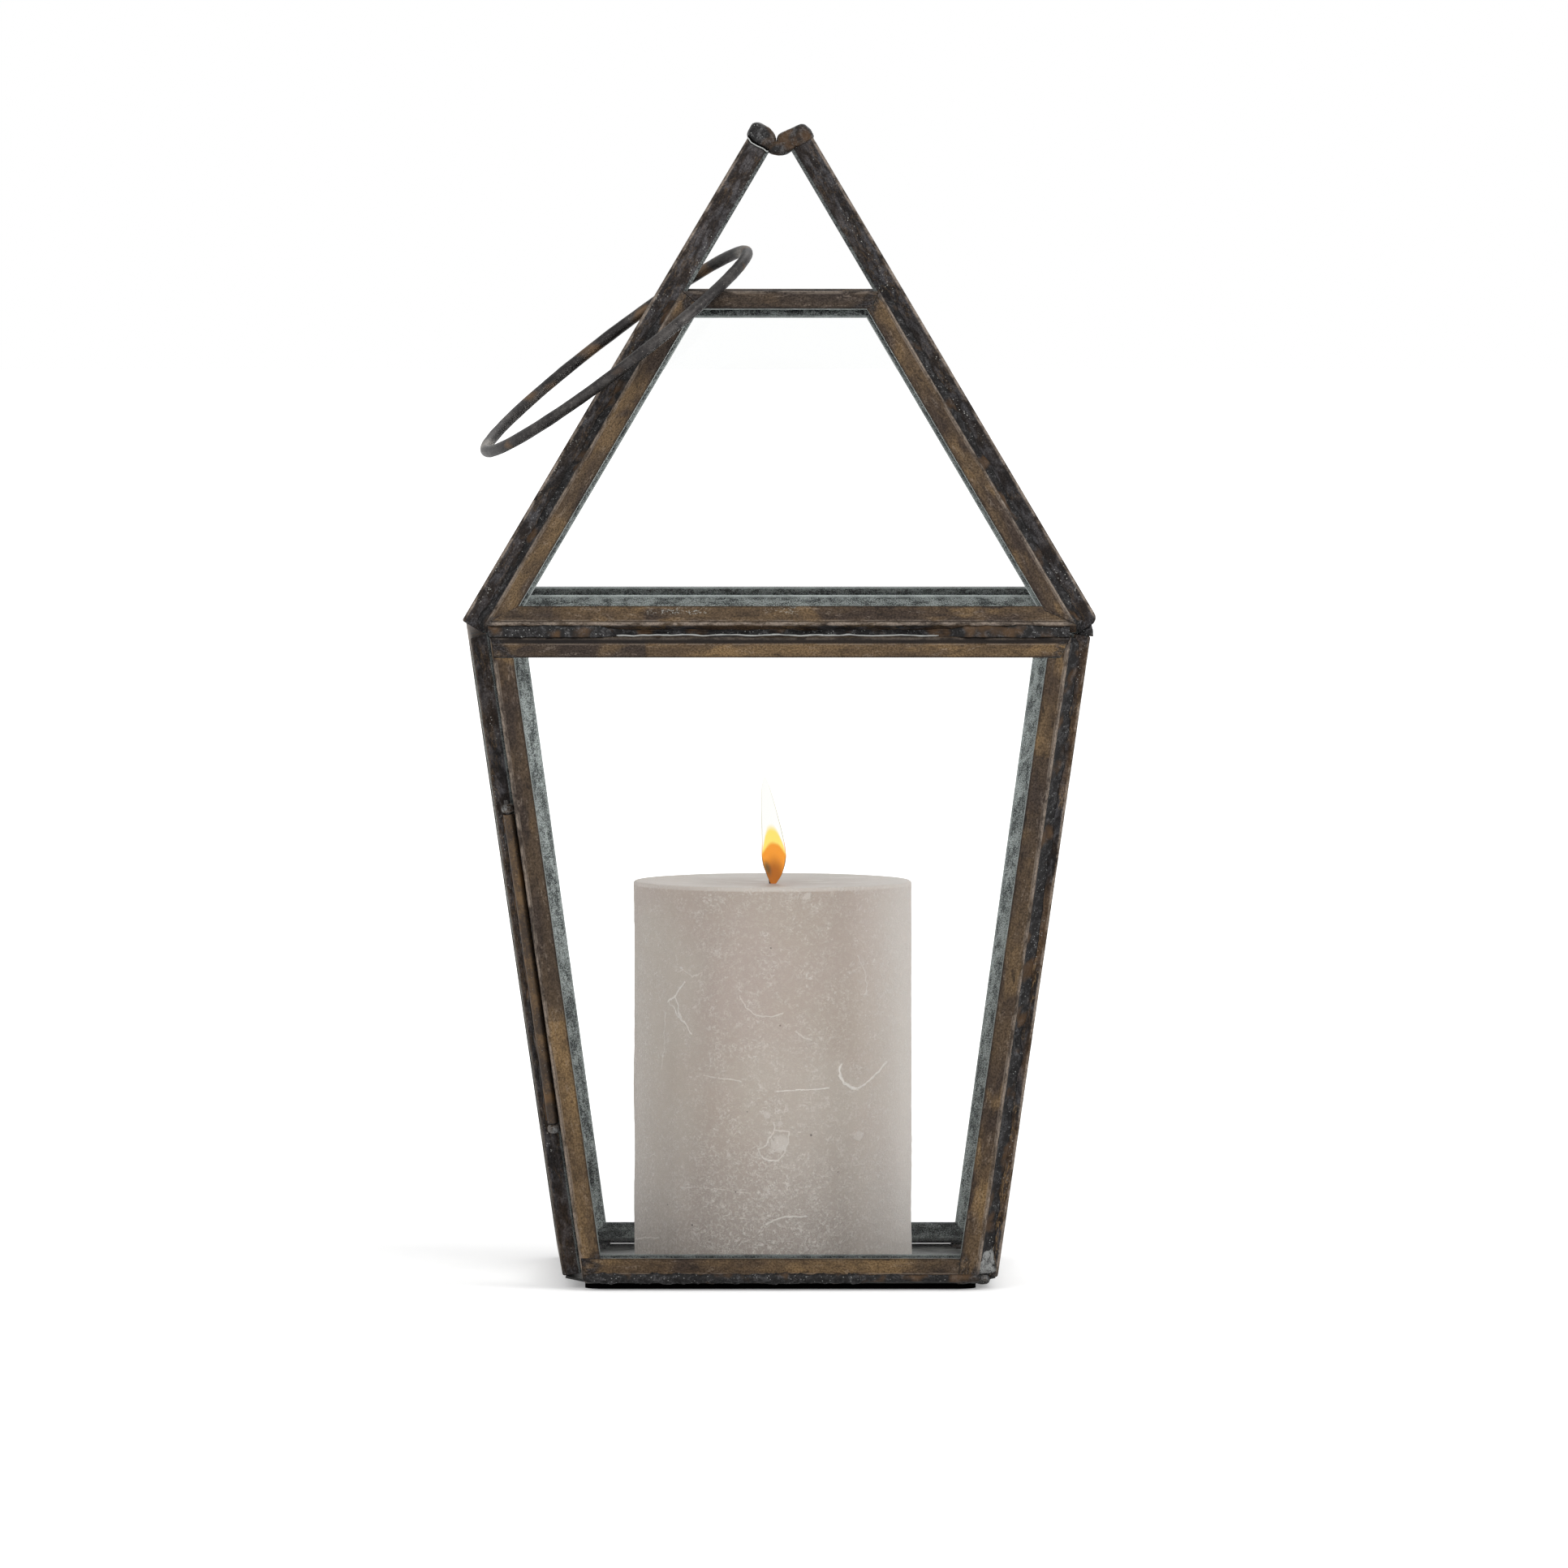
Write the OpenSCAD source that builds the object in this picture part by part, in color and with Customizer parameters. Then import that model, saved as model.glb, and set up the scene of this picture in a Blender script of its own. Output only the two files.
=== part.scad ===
// Candle lantern: glass panes in folded brass channel, soldered edge to edge round a square core,
// with a hinged side, a loose carrying ring and a pillar candle. Millimetres, Z up, front at -Y.

/* [Body] */
// Width across the inner faces at the top of the body
body_top_w = 153.1; // [140:0.1:154]
// Width across the inner faces at the bottom of the body
body_bottom_w = 105.2; // [98:0.1:130]
// Height of the body's side frames, measured straight up
body_h = 171.3; // [150:0.1:200]

/* [Roof] */
// How far the inner faces at the base of the roof stand out past those of the body, on each side
roof_step = 1.35; // [0:0.05:3]
// Height from the roof's base to where its four faces would meet
roof_peak_h = 131.9; // [120:0.1:150]
// Height of the front and back roof frames, measured straight up
roof_panel_h = 87.3; // [70:0.1:95]
// Length cut off each side leg below the point where they would meet
leg_trim = 5.5; // [4:0.1:8]

/* [Channel] */
// Width of the channel's flanges
flange_w = 5.5; // [4:0.1:8]
// Thickness of the brass sheet
channel_wall = 0.85; // [0.6:0.05:1]
// Outside radius of the folds
fold_r = 0.6; // [0.4:0.05:0.8]
// Thickness that the folded hem adds to the side roof channel, on its inner side
hem_t = 1; // [0.6:0.1:1.4]
// Set-back of that hem from the face of the web
hem_step = 0.25; // [0.1:0.05:0.4]
// Gap at each mitre and between neighbouring pieces that are soldered together
seam = 0.06; // [0.02:0.01:0.12]
// Thickness of the flange ends that lap over the next channel at the front corners
lap_t = 0.35; // [0.2:0.05:0.5]
// How far a lap stops inside the outer edges
lap_rim = 0.5; // [0.3:0.05:1]
// How far a lap reaches back along its own channel
lap_root = 2.6; // [1:0.1:4]
// Width of the groove round a lap
lap_gap = 0.15; // [0.05:0.05:0.3]
// Share of the next flange that each lap of the front roof frame covers
roof_lap = 0.25; // [0.1:0.05:0.6]
// Share of the next flange that the lap at the top right of the body covers
body_lap = 0.65; // [0.2:0.05:0.9]
// Radius of the knocked lower edge of the right side roof frame
knock_r = 2.2; // [1:0.1:2.4]

/* [Glass] */
// Thickness of the panes
glass_t = 3.2; // [2:0.1:4]
// Play between a pane and each flange
glass_gap = 0.15; // [0.05:0.05:0.3]
// The same play in the thicker side roof channel
side_glass_gap = 0.5; // [0.1:0.05:0.6]
// Play between a pane's edge and the web of its channel
glass_edge_gap = 0.3; // [0.1:0.05:0.8]

/* [Base] */
// How far the black pad stops inside the frames' inner faces
pad_inset = 0.6; // [0.4:0.1:8]
// Thickness of the pad
pad_t = 1.5; // [1:0.1:4]
// Radius of the pad's corners
pad_corner_r = 5; // [1:0.5:12]
// Thickness of the sheet of the pan and its sills
pan_t = 0.6; // [0.4:0.05:1]
// How far the flat pan stops inside the frames' inner faces
pan_inset = 0.6; // [0.4:0.1:2]
// Slope of the bent sills, in degrees
sill_angle = 12; // [8:0.5:16]
// How far the sills stop inside the frames' outer faces
sill_inset = 0.5; // [0.2:0.1:1.5]
// Length left open at each end of a sill
sill_end = 4; // [3:0.5:8]

/* [Door] */
// Clearance all round the door
door_gap = 0.4; // [0.3:0.05:0.8]
// Angle at which the door stands open, in degrees
door_ajar = 1.85; // [0:0.05:3]
// Diameter of the hinge pin
pin_d = 1.6; // [1.2:0.1:2]
// Running clearance between pin and tube, on the radius
pin_fit = 0.05; // [0.02:0.01:0.1]
// Wall of the hinge tube
tube_wall = 0.65; // [0.4:0.05:0.8]
// Clearance between the hinge tube and the front frame
hinge_gap = 0.3; // [0.3:0.05:0.6]
// Distance from the foot of the body's edge to the hinge tube, along the edge
tube_start = 42.4; // [20:0.1:60]
// Length of the hinge tube
tube_len = 84; // [50:0.5:100]
// Length of the pin that shows above the tube
pin_above = 3.9; // [3:0.1:6]
// Length of the pin that shows below the tube
pin_below = 2.6; // [2:0.1:6]
// Thickness of the door's two stops
stop_t = 1.1; // [0.6:0.1:2]
// Reach of each stop behind the door
stop_reach = 6; // [4:0.5:10]
// Height of each stop
stop_h = 8; // [5:0.5:15]
// Distance from each end of the corner to the middle of a stop
stop_end = 18; // [12:1:40]

/* [Ring] */
// Radius of the ring, to the middle of its wire
ring_r = 44; // [42:0.1:50]
// Diameter of the ring's wire
ring_wire_d = 3.2; // [2:0.1:4]
// Slope of the ring where it lies on the roof, in degrees
ring_slope = 37.2; // [34:0.1:42]
// Lean of the ring toward the front, in degrees
ring_tilt = 5.6; // [0:0.1:7]
// Clearance between the wire and the corners of the top bars, in the plane of the ring
ring_rest_gap = 0.9; // [0.5:0.05:1.5]
// Distance of the ring's centre to the left of the lantern's
ring_out = 44.1; // [42:0.1:48]

/* [Apex] */
// Radius of the rounded solder on each leg end
cap_r = 5.1; // [4.4:0.1:6]
// Depth of the apex solder from front to back
cap_depth = 6.6; // [4:0.1:9]
// Width of the crack between the two caps
cap_crack = 0.3; // [0.2:0.05:0.8]
// Distance of that solder's middle past the leg's cut end
cap_past = 0.77; // [0.2:0.01:1.5]
// Distance of that solder's middle outside the middle of the leg
cap_off = 0.2; // [0:0.1:0.6]
// Depth of the bridge of solder under the caps
bridge_t = 2.2; // [1.5:0.1:3]
// How far the bridge sags below the cut ends
bridge_sag = 1.32; // [0.8:0.01:1.8]
// Radius of the bridge's round underside
bridge_r = 4.35; // [3.8:0.05:6]

/* [Solder] */
// Width of the solder bead along the body's corners, on the side frames
body_bead = 2.7; // [1.5:0.1:4]
// Width of the solder bead along the roof's corners, on the side frames
roof_bead = 2.9; // [1.5:0.1:4]
// Width of both beads on the front and back frames
face_bead = 4; // [2:0.1:4.8]
// Fullness of the corner beads, where 0.5 fills them flat
bead_fill = 0.2; // [0.1:0.01:0.4]
// Length left bare at each end of a bead
bead_end = 1; // [0.4:0.1:3]
// Depth of the solder in the seam under the roof
seam_bead = 2.4; // [1.5:0.1:4]
// Width of the solder under the hinge tube, where it meets the door
tube_bead = 2.8; // [2:0.1:4]
// Height of the fuller solder at the foot of each fixed corner
foot_h = 3; // [1.5:0.5:8]
// How far that solder stays inside the faces of the frames
foot_inset = 0.4; // [0.2:0.1:1]
// Fullness of that solder, where 0.5 fills the corner flat
foot_fill = 0.42; // [0.3:0.01:0.48]

/* [Candle] */
// Diameter of the candle
candle_d = 75; // [60:0.5:85]
// Height of the candle
candle_h = 103.9; // [60:0.1:130]
// Distance of the candle to the left of the middle
candle_left = 2.05; // [0:0.05:4]
// Radius of the candle's rim
rim_r = 1.6; // [0.5:0.1:3]
// Depth of the shallow dish in the candle's top
dish_depth = 0.9; // [0.3:0.1:2]
// Width of the rim round the dish
rim_w = 4; // [2:0.5:8]
// Gap under the candle
candle_gap = 0.1; // [0.05:0.05:0.3]
// Diameter of the wick
wick_d = 1.8; // [1.2:0.1:3]
// Length of the wick above the dish
wick_out = 7; // [3:0.5:12]
// Length of the wick held in the wax
wick_in = 12; // [5:1:30]
// Play round the wick in the wax
wick_play = 0.05; // [0.02:0.01:0.15]

/* [Hidden] */
$fn = 48;

brass = [0.33, 0.27, 0.20];
dark_brass = [0.24, 0.21, 0.18];
solder_grey = [0.20, 0.20, 0.20];
tin = [0.45, 0.48, 0.49];
pane = [0.85, 0.90, 0.90, 0.25];
iron = [0.22, 0.21, 0.20];
pad_black = [0.06, 0.06, 0.06];
wax = [0.66, 0.61, 0.58];
char_black = [0.10, 0.09, 0.08];

// Channel sections
channel_t = glass_t + 2 * glass_gap + 2 * channel_wall;
side_t = glass_t + 2 * side_glass_gap + 2 * channel_wall + hem_t;

// Body and roof: slopes, and the outlines of their faces
body_lean = atan((body_top_w - body_bottom_w) / 2 / body_h);
body_slope = body_h / cos(body_lean);
roof_base_w = body_top_w + 2 * roof_step;
roof_lean = atan(roof_base_w / 2 / roof_peak_h);
roof_slope = roof_peak_h / cos(roof_lean);
panel_slope = roof_panel_h / cos(roof_lean);
panel_top_w = roof_base_w * (1 - roof_panel_h / roof_peak_h);
body_face = [
    [-body_bottom_w / 2, 0], [body_bottom_w / 2, 0],
    [body_top_w / 2, body_slope], [-body_top_w / 2, body_slope]
];
roof_face = [
    [-roof_base_w / 2, 0], [roof_base_w / 2, 0],
    [panel_top_w / 2, panel_slope], [-panel_top_w / 2, panel_slope]
];
side_face = [[-roof_base_w / 2, 0], [roof_base_w / 2, 0], [0, roof_slope]];

// Heights: the frames stand on the outer edges of the sills
pad_w = body_bottom_w - 2 * pad_inset;
pan_half = body_bottom_w / 2 - pan_inset;
sill_from = pan_half + pan_t * sin(sill_angle) + seam;
sill_reach = body_bottom_w / 2 + channel_t * cos(body_lean) - sill_inset - sill_from;
sill_w = sill_reach / cos(sill_angle);
body_z = pad_t + sill_w * sin(sill_angle) + pan_t * cos(sill_angle) + channel_t * sin(body_lean) + seam / 4;
roof_z = body_z + body_h;
leg_end = roof_slope - leg_trim;
leg_end_z = roof_z + leg_end * cos(roof_lean);
bridge_z = leg_end_z - bridge_sag;
pan_top = pad_t + pan_t;

// Hinge: an axis parallel to the slanted front left edge, out in the notch between the frames
edge_run = (body_top_w - body_bottom_w) / 2;
edge_v = [-edge_run, -edge_run, body_h];
bore_d = pin_d + 2 * pin_fit;
tube_d = bore_d + 2 * tube_wall;
hinge_off = tube_d / 2 + hinge_gap;
front_out = [0, -cos(body_lean), -sin(body_lean)];
left_out = [-cos(body_lean), 0, -sin(body_lean)];
hinge_foot = [-body_bottom_w / 2, -body_bottom_w / 2, body_z] + hinge_off * (front_out + left_out);
door_face = inset(body_face, door_gap);

// Angle between the outward faces of neighbouring frames
body_notch = acos(pow(sin(body_lean), 2));
roof_notch = acos(pow(sin(roof_lean), 2));

// Ring: it hangs round the left legs and lies on the outer corners of the two top bars
bar_y = panel_top_w / 2 + channel_t * cos(roof_lean);
bar_z = roof_z + roof_panel_h + channel_t * sin(roof_lean);
wire_r = ring_wire_d / 2;
tilt_k = cos(ring_slope) * sin(ring_tilt) / sin(ring_slope);
tilt_n = 1 + tilt_k * tilt_k;
ring_free = ring_r - wire_r - ring_rest_gap;
ring_along = tilt_n * sqrt(pow(ring_free, 2) / tilt_n - pow(bar_y / cos(ring_tilt), 2));
ring_y = -ring_along * tilt_k * cos(ring_tilt) / tilt_n;
ring_z = bar_z - ring_along * sin(ring_slope);

// Points moved in from the edges of a convex outline, which runs anticlockwise
function inward(a, b) = [a[1] - b[1], b[0] - a[0]] / norm(b - a);
function inset(pts, d) = [
    for (i = [0 : len(pts) - 1])
        let (
            p = pts[i],
            n1 = inward(pts[(i + len(pts) - 1) % len(pts)], p),
            n2 = inward(p, pts[(i + 1) % len(pts)])
        )
        p + d * (n1 + n2) / (1 + n1 * n2)
];
// Point at given distances from the two edges that meet at corner i
function corner_at(pts, i, before, after) =
    let (
        p = pts[i],
        n1 = inward(pts[(i + len(pts) - 1) % len(pts)], p),
        n2 = inward(p, pts[(i + 1) % len(pts)]),
        k = n1 * n2
    )
    p + ((before - k * after) * n1 + (after - k * before) * n2) / (1 - k * k);
// Outline of a lap at corner i, on the edge that starts there or, reversed, on the one that ends there
function lap_face(pts, i, starts, share) =
    let (
        n = len(pts),
        run = starts ? pts[(i + 1) % n] - pts[i] : pts[(i + n - 1) % n] - pts[i],
        root = lap_root * run / norm(run),
        side = flange_w - seam,
        rim = corner_at(pts, i, lap_rim, lap_rim),
        mitre = corner_at(pts, i, side, side),
        full = starts ? corner_at(pts, i, lap_rim, side) : corner_at(pts, i, side, lap_rim),
        tip = mitre + share * (full - mitre)
    )
    starts ? [rim, rim + root, mitre + root, tip] : [rim, tip, mitre + root, rim + root];
// Points of a hollow bead between two legs of given lengths that meet at an angle
function bead(leg_a, leg_b, angle, sag) = [
    for (i = [0 : 6])
        let (
            t = i / 6,
            a = [0, leg_a],
            b = leg_b * [sin(angle), cos(angle)],
            c = sag * (a + b)
        )
        (1 - t) * (1 - t) * a + 2 * t * (1 - t) * c + t * t * b
];

// Places a face's own plane (X along it, Y up its slope, Z outward) on side k of the body or roof,
// where 0 is the front, 1 the right, 2 the back and 3 the left
module on_body(k)
    rotate(90 * k) translate([0, -body_bottom_w / 2, body_z]) rotate([90 + body_lean, 0, 0]) children();
module on_roof(k)
    rotate(90 * k) translate([0, -roof_base_w / 2, roof_z]) rotate([90 - roof_lean, 0, 0]) children();
// Places X along an edge of an outline, with Y toward its middle
module on_edge(outline, edge) {
    a = outline[edge];
    run = outline[(edge + 1) % len(outline)] - a;
    translate([a[0], a[1], 0]) rotate(atan2(run[1], run[0])) children();
}
// Swings the door's pieces open about the hinge
module swung(angle) translate(hinge_foot) rotate(a = angle, v = edge_v) translate(-hinge_foot) children();
// Places Z along the hinge's axis, X away from the front frame's web and Y away from the door's
module on_hinge() {
    tip = acos(edge_v[2] / norm(edge_v));
    translate(hinge_foot) rotate([0, tip, atan2(edge_v[1], edge_v[0])]) rotate(-45) children();
}

// Section of a channel before its slot is cut: X into the face, Y through its thickness
module fold_section(thick) {
    reach = flange_w + 1;
    translate([fold_r, 0]) square([reach - fold_r, thick]);
    translate([0, fold_r]) square([reach, thick - 2 * fold_r]);
    for (y = [fold_r, thick - fold_r]) translate([fold_r, y]) circle(fold_r);
}
// A folded channel along one edge of a face, mitred at both ends
module channel(outline, edge, thick, inner_wall) {
    n = len(outline);
    inner = inset(outline, flange_w);
    a = outline[edge];
    b = outline[(edge + 1) % n];
    s = seam * (b - a) / norm(b - a);
    difference() {
        intersection() {
            linear_extrude(thick) polygon([a + s, b - s, inner[(edge + 1) % n] - s, inner[edge] + s]);
            on_edge(outline, edge)
                translate([-1, 0, 0]) rotate([90, 0, 90]) linear_extrude(norm(b - a) + 2) fold_section(thick);
        }
        translate([0, 0, inner_wall])
            linear_extrude(thick - inner_wall - channel_wall) polygon(inset(outline, channel_wall));
    }
}
module body_channel(edge) channel(body_face, edge, channel_t, channel_wall);
module roof_channel(edge) channel(roof_face, edge, channel_t, channel_wall);
// Laps of the front frames: the corner, whether the lapping channel starts there, and the share it covers
body_laps = [[0, true, 1], [1, true, 1], [2, true, body_lap], [3, false, 1]];
roof_laps = [[1, true, roof_lap], [2, true, roof_lap], [3, true, roof_lap]];
// A front channel with its laps, and with grooves under those of its neighbours
module lapped(outline, edge, laps) {
    n = len(outline);
    difference() {
        union() {
            children();
            for (lap = laps) if (edge == (lap[1] ? lap[0] : (lap[0] + n - 1) % n))
                translate([0, 0, channel_t - seam - lap_t])
                    linear_extrude(lap_t) polygon(lap_face(outline, lap[0], lap[1], lap[2]));
        }
        for (lap = laps) if (edge == (lap[1] ? (lap[0] + n - 1) % n : lap[0]))
            translate([0, 0, channel_t - lap_t - 2 * seam])
                linear_extrude(1) polygon(inset(lap_face(outline, lap[0], lap[1], lap[2]), -lap_gap));
    }
}
module front_channel(edge) on_body(0) lapped(body_face, edge, body_laps) body_channel(edge);
module front_roof_channel(edge) on_roof(0) lapped(roof_face, edge, roof_laps) roof_channel(edge);
module door_channel(edge) swung(door_ajar) on_body(3) channel(door_face, edge, channel_t, channel_wall);
// A pane that fills its channels' slots but for the play
module pane_sheet(outline, from) {
    translate([0, 0, from]) linear_extrude(glass_t) polygon(inset(outline, channel_wall + glass_edge_gap));
}
// A piece of the side roof, cut square near the peak
module leg_cut(shorter = 0) {
    difference() {
        children();
        translate([-roof_base_w / 2, leg_end - shorter, -1]) cube([roof_base_w, 2 * leg_trim, side_t + 2]);
    }
}
module side_channel(edge) {
    leg_cut() difference() {
        channel(side_face, edge, side_t, channel_wall + hem_t);
        if (edge > 0)
            on_edge(side_face, edge) translate([-1, -1, -1]) cube([2 * roof_slope, 1 + hem_step, 1 + hem_t]);
    }
}
// A piece of the right side roof frame, with its lower outer edge knocked round
module knocked() {
    difference() {
        children();
        rotate([90, 0, 90]) linear_extrude(2 * roof_base_w, center = true) difference() {
            translate([-1, side_t - knock_r]) square([1 + knock_r, knock_r + 1]);
            translate([knock_r, side_t - knock_r]) circle(knock_r);
        }
    }
}
module side_pane() leg_cut(glass_edge_gap) pane_sheet(side_face, channel_wall + hem_t + side_glass_gap);

module front_top() color(brass) front_channel(2);
module front_bottom() color(brass) front_channel(0);
module front_left() color(brass) front_channel(3);
module front_right() color(brass) front_channel(1);
module front_glass() color(pane) on_body(0) pane_sheet(body_face, channel_wall + glass_gap);
module right_top() color(brass) on_body(1) body_channel(2);
module right_bottom() color(brass) on_body(1) body_channel(0);
module right_front() color(brass) on_body(1) body_channel(3);
module right_back() color(brass) on_body(1) body_channel(1);
module right_glass() color(pane) on_body(1) pane_sheet(body_face, channel_wall + glass_gap);
module back_top() color(tin) on_body(2) body_channel(2);
module back_bottom() color(tin) on_body(2) body_channel(0);
module back_left() color(tin) on_body(2) body_channel(1);
module back_right() color(tin) on_body(2) body_channel(3);
module back_glass() color(pane) on_body(2) pane_sheet(body_face, channel_wall + glass_gap);
module door_top() color(brass) door_channel(2);
module door_bottom() color(brass) door_channel(0);
module door_hinge_side() color(brass) door_channel(1);
module door_free_side() color(brass) door_channel(3);
module door_glass() color(pane) swung(door_ajar) on_body(3) pane_sheet(door_face, channel_wall + glass_gap);
module roof_front_top() color(brass) front_roof_channel(2);
module roof_front_bottom() color(brass) front_roof_channel(0);
module roof_front_left() color(brass) front_roof_channel(3);
module roof_front_right() color(brass) front_roof_channel(1);
module roof_front_glass() color(pane) on_roof(0) pane_sheet(roof_face, channel_wall + glass_gap);
module roof_back_top() color(tin) on_roof(2) roof_channel(2);
module roof_back_bottom() color(tin) on_roof(2) roof_channel(0);
module roof_back_left() color(tin) on_roof(2) roof_channel(1);
module roof_back_right() color(tin) on_roof(2) roof_channel(3);
module roof_back_glass() color(pane) on_roof(2) pane_sheet(roof_face, channel_wall + glass_gap);
module roof_left_bottom() color(dark_brass) on_roof(3) side_channel(0);
module roof_left_front_leg() color(dark_brass) on_roof(3) side_channel(1);
module roof_left_back_leg() color(dark_brass) on_roof(3) side_channel(2);
module roof_left_glass() color(pane) on_roof(3) side_pane();
module roof_right_bottom() color(dark_brass) on_roof(1) knocked() side_channel(0);
module roof_right_front_leg() color(dark_brass) on_roof(1) knocked() side_channel(2);
module roof_right_back_leg() color(dark_brass) on_roof(1) knocked() side_channel(1);
module roof_right_glass() color(pane) on_roof(1) side_pane();

// Rounded solder on a leg's cut end, on the right (1) or left (3) side
module apex_cap(k) {
    far = 3 * cap_r;
    intersection() {
        on_roof(k) translate([0, leg_end + cap_past, side_t / 2 + cap_off])
            rotate([0, 90, 0]) cylinder(r = cap_r, h = cap_depth, center = true);
        on_roof(k) translate([-far, leg_end + seam, -far]) cube([2 * far, far, far + side_t]);
        rotate(90 * k) translate([-far, -far - cap_crack / 2, bridge_z + bridge_t + seam])
            cube([2 * far, far, far]);
    }
}
module apex_cap_left() color(solder_grey) apex_cap(3);
module apex_cap_right() color(solder_grey) apex_cap(1);
// Solder that sags between the two legs
module apex_bridge() {
    color(solder_grey) difference() {
        intersection() {
            translate([0, 0, bridge_z + bridge_r])
                rotate([90, 0, 0]) cylinder(r = bridge_r, h = cap_depth, center = true);
            translate([-bridge_r, -cap_depth, bridge_z - 1])
                cube([2 * bridge_r, 2 * cap_depth, bridge_t + 1]);
        }
        for (k = [1, 3])
            on_roof(k) translate([-cap_depth, roof_slope / 2, -seam])
                cube([2 * cap_depth, leg_end - roof_slope / 2 + seam, 2 * side_t]);
    }
}
module ring_handle() {
    color(iron) translate([-ring_out, ring_y, ring_z]) rotate([0, -ring_slope, 0]) rotate([ring_tilt, 0, 0])
        rotate_extrude() translate([ring_r, 0]) circle(d = ring_wire_d);
}

module hinge_tube() {
    color(dark_brass) swung(door_ajar) on_hinge() translate([0, 0, tube_start]) difference() {
        cylinder(d = tube_d, h = tube_len);
        translate([0, 0, -1]) cylinder(d = bore_d, h = tube_len + 2);
    }
}
// Solder between the tube and the web of the door
module hinge_tube_solder() {
    web_y = hinge_off + door_gap - seam / 2;
    hold_x = 0.4 * tube_d;
    hold_y = 0.2 * tube_d;
    color(solder_grey) swung(door_ajar) difference() {
        on_hinge() translate([0, 0, tube_start + bead_end]) linear_extrude(tube_len - 2 * bead_end)
            polygon([[-hold_x, -web_y], [tube_bead - hold_x, -web_y], [hold_x, -hold_y], [-hold_x, -hold_y]]);
        on_hinge() translate([0, 0, tube_start]) cylinder(d = tube_d + seam, h = tube_len);
    }
}
module hinge_pin() {
    color(iron) on_hinge() translate([0, 0, tube_start - pin_below])
        cylinder(d = pin_d, h = pin_below + tube_len + pin_above);
}
// Solder that holds the pin's two ends to the web of the front frame
module hinge_pin_solder() {
    grip_r = hinge_off + door_gap - hinge_gap;
    web_x = hinge_off - seam / 2;
    grip_h = pin_below - hinge_gap;
    foot_w = 1.6 * grip_r;
    color(solder_grey) on_hinge() difference() {
        for (z = [tube_start - pin_below, tube_start + tube_len + hinge_gap]) {
            translate([0, 0, z]) cylinder(r = grip_r, h = grip_h);
            translate([-web_x, -foot_w / 2, z]) cube([web_x, foot_w, grip_h]);
        }
        translate([0, 0, tube_start - pin_below - 1])
            cylinder(d = pin_d + seam / 2, h = pin_below + tube_len + pin_above + 2);
        translate([-web_x - 2 * grip_r, -2 * grip_r, 0]) cube([2 * grip_r, 4 * grip_r, 2 * tube_len]);
    }
}
// Two tabs on the back frame, inside the back left corner, that the closed door meets
module door_stops() {
    color(tin) for (x = [stop_end, body_slope - stop_end])
        on_body(3) on_edge(body_face, 3)
            translate([x - stop_h / 2, 2 * seam, -door_gap - stop_t]) cube([stop_h, stop_reach, stop_t]);
}

// Solder in the notch along an edge, from one distance to another along it
module notch_solder(outline, edge, from, to, notch, leg_a, leg_b, fill) {
    curve = bead(leg_a, leg_b, notch, fill);
    on_edge(outline, edge) translate([from, -seam, seam]) rotate([90, 0, 90])
        linear_extrude(to - from) polygon(concat([[0, 0]], [for (p = curve) [-p[0], p[1]]]));
}
// The three fixed corners, each as a side and the edge of its face that carries the solder
fixed_corners = [[0, 1], [2, 1], [2, 3]];
module body_corner_solder() {
    edge_len = norm(body_face[2] - body_face[1]);
    color(solder_grey) for (c = fixed_corners) {
        from = c[1] == 1 ? foot_h + seam : bead_end;
        to = c[1] == 1 ? edge_len - bead_end : edge_len - foot_h - seam;
        on_body(c[0]) notch_solder(body_face, c[1], from, to, body_notch, face_bead, body_bead, bead_fill);
    }
}
module base_solder() {
    edge_len = norm(body_face[2] - body_face[1]);
    leg = channel_t - foot_inset;
    color(tin) for (c = fixed_corners) {
        from = c[1] == 1 ? foot_inset : edge_len - foot_h;
        to = c[1] == 1 ? foot_h : edge_len - foot_inset;
        on_body(c[0]) notch_solder(body_face, c[1], from, to, body_notch, leg, leg, foot_fill);
    }
}
module roof_corner_solder() {
    to = norm(roof_face[2] - roof_face[1]) - bead_end;
    color(solder_grey) for (k = [0, 2], edge = [1, 3])
        on_roof(k) notch_solder(roof_face, edge, bead_end, to, roof_notch, face_bead, roof_bead, bead_fill);
}
// Solder in the groove between the body's top webs and the roof's bottom webs, on the fixed sides
module seam_solder() {
    start = fold_r / 2;
    top_end = start + 0.8 * seam_bead;
    low = [for (x = [start, start + seam_bead]) [x, -(x + roof_step) * tan(body_lean) + seam]];
    high = [for (x = [top_end, start]) [x, x * tan(roof_lean) - seam]];
    color(solder_grey) for (k = [0, 1, 2])
        rotate(90 * k) translate([0, -roof_base_w / 2, roof_z]) rotate([90, 0, -90])
            linear_extrude(roof_base_w - 2 * bead_end, center = true) polygon(concat(low, high));
}

module floor_pan() {
    color(tin) translate([-pan_half, -pan_half, pad_t]) cube([2 * pan_half, 2 * pan_half, pan_t]);
}
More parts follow.
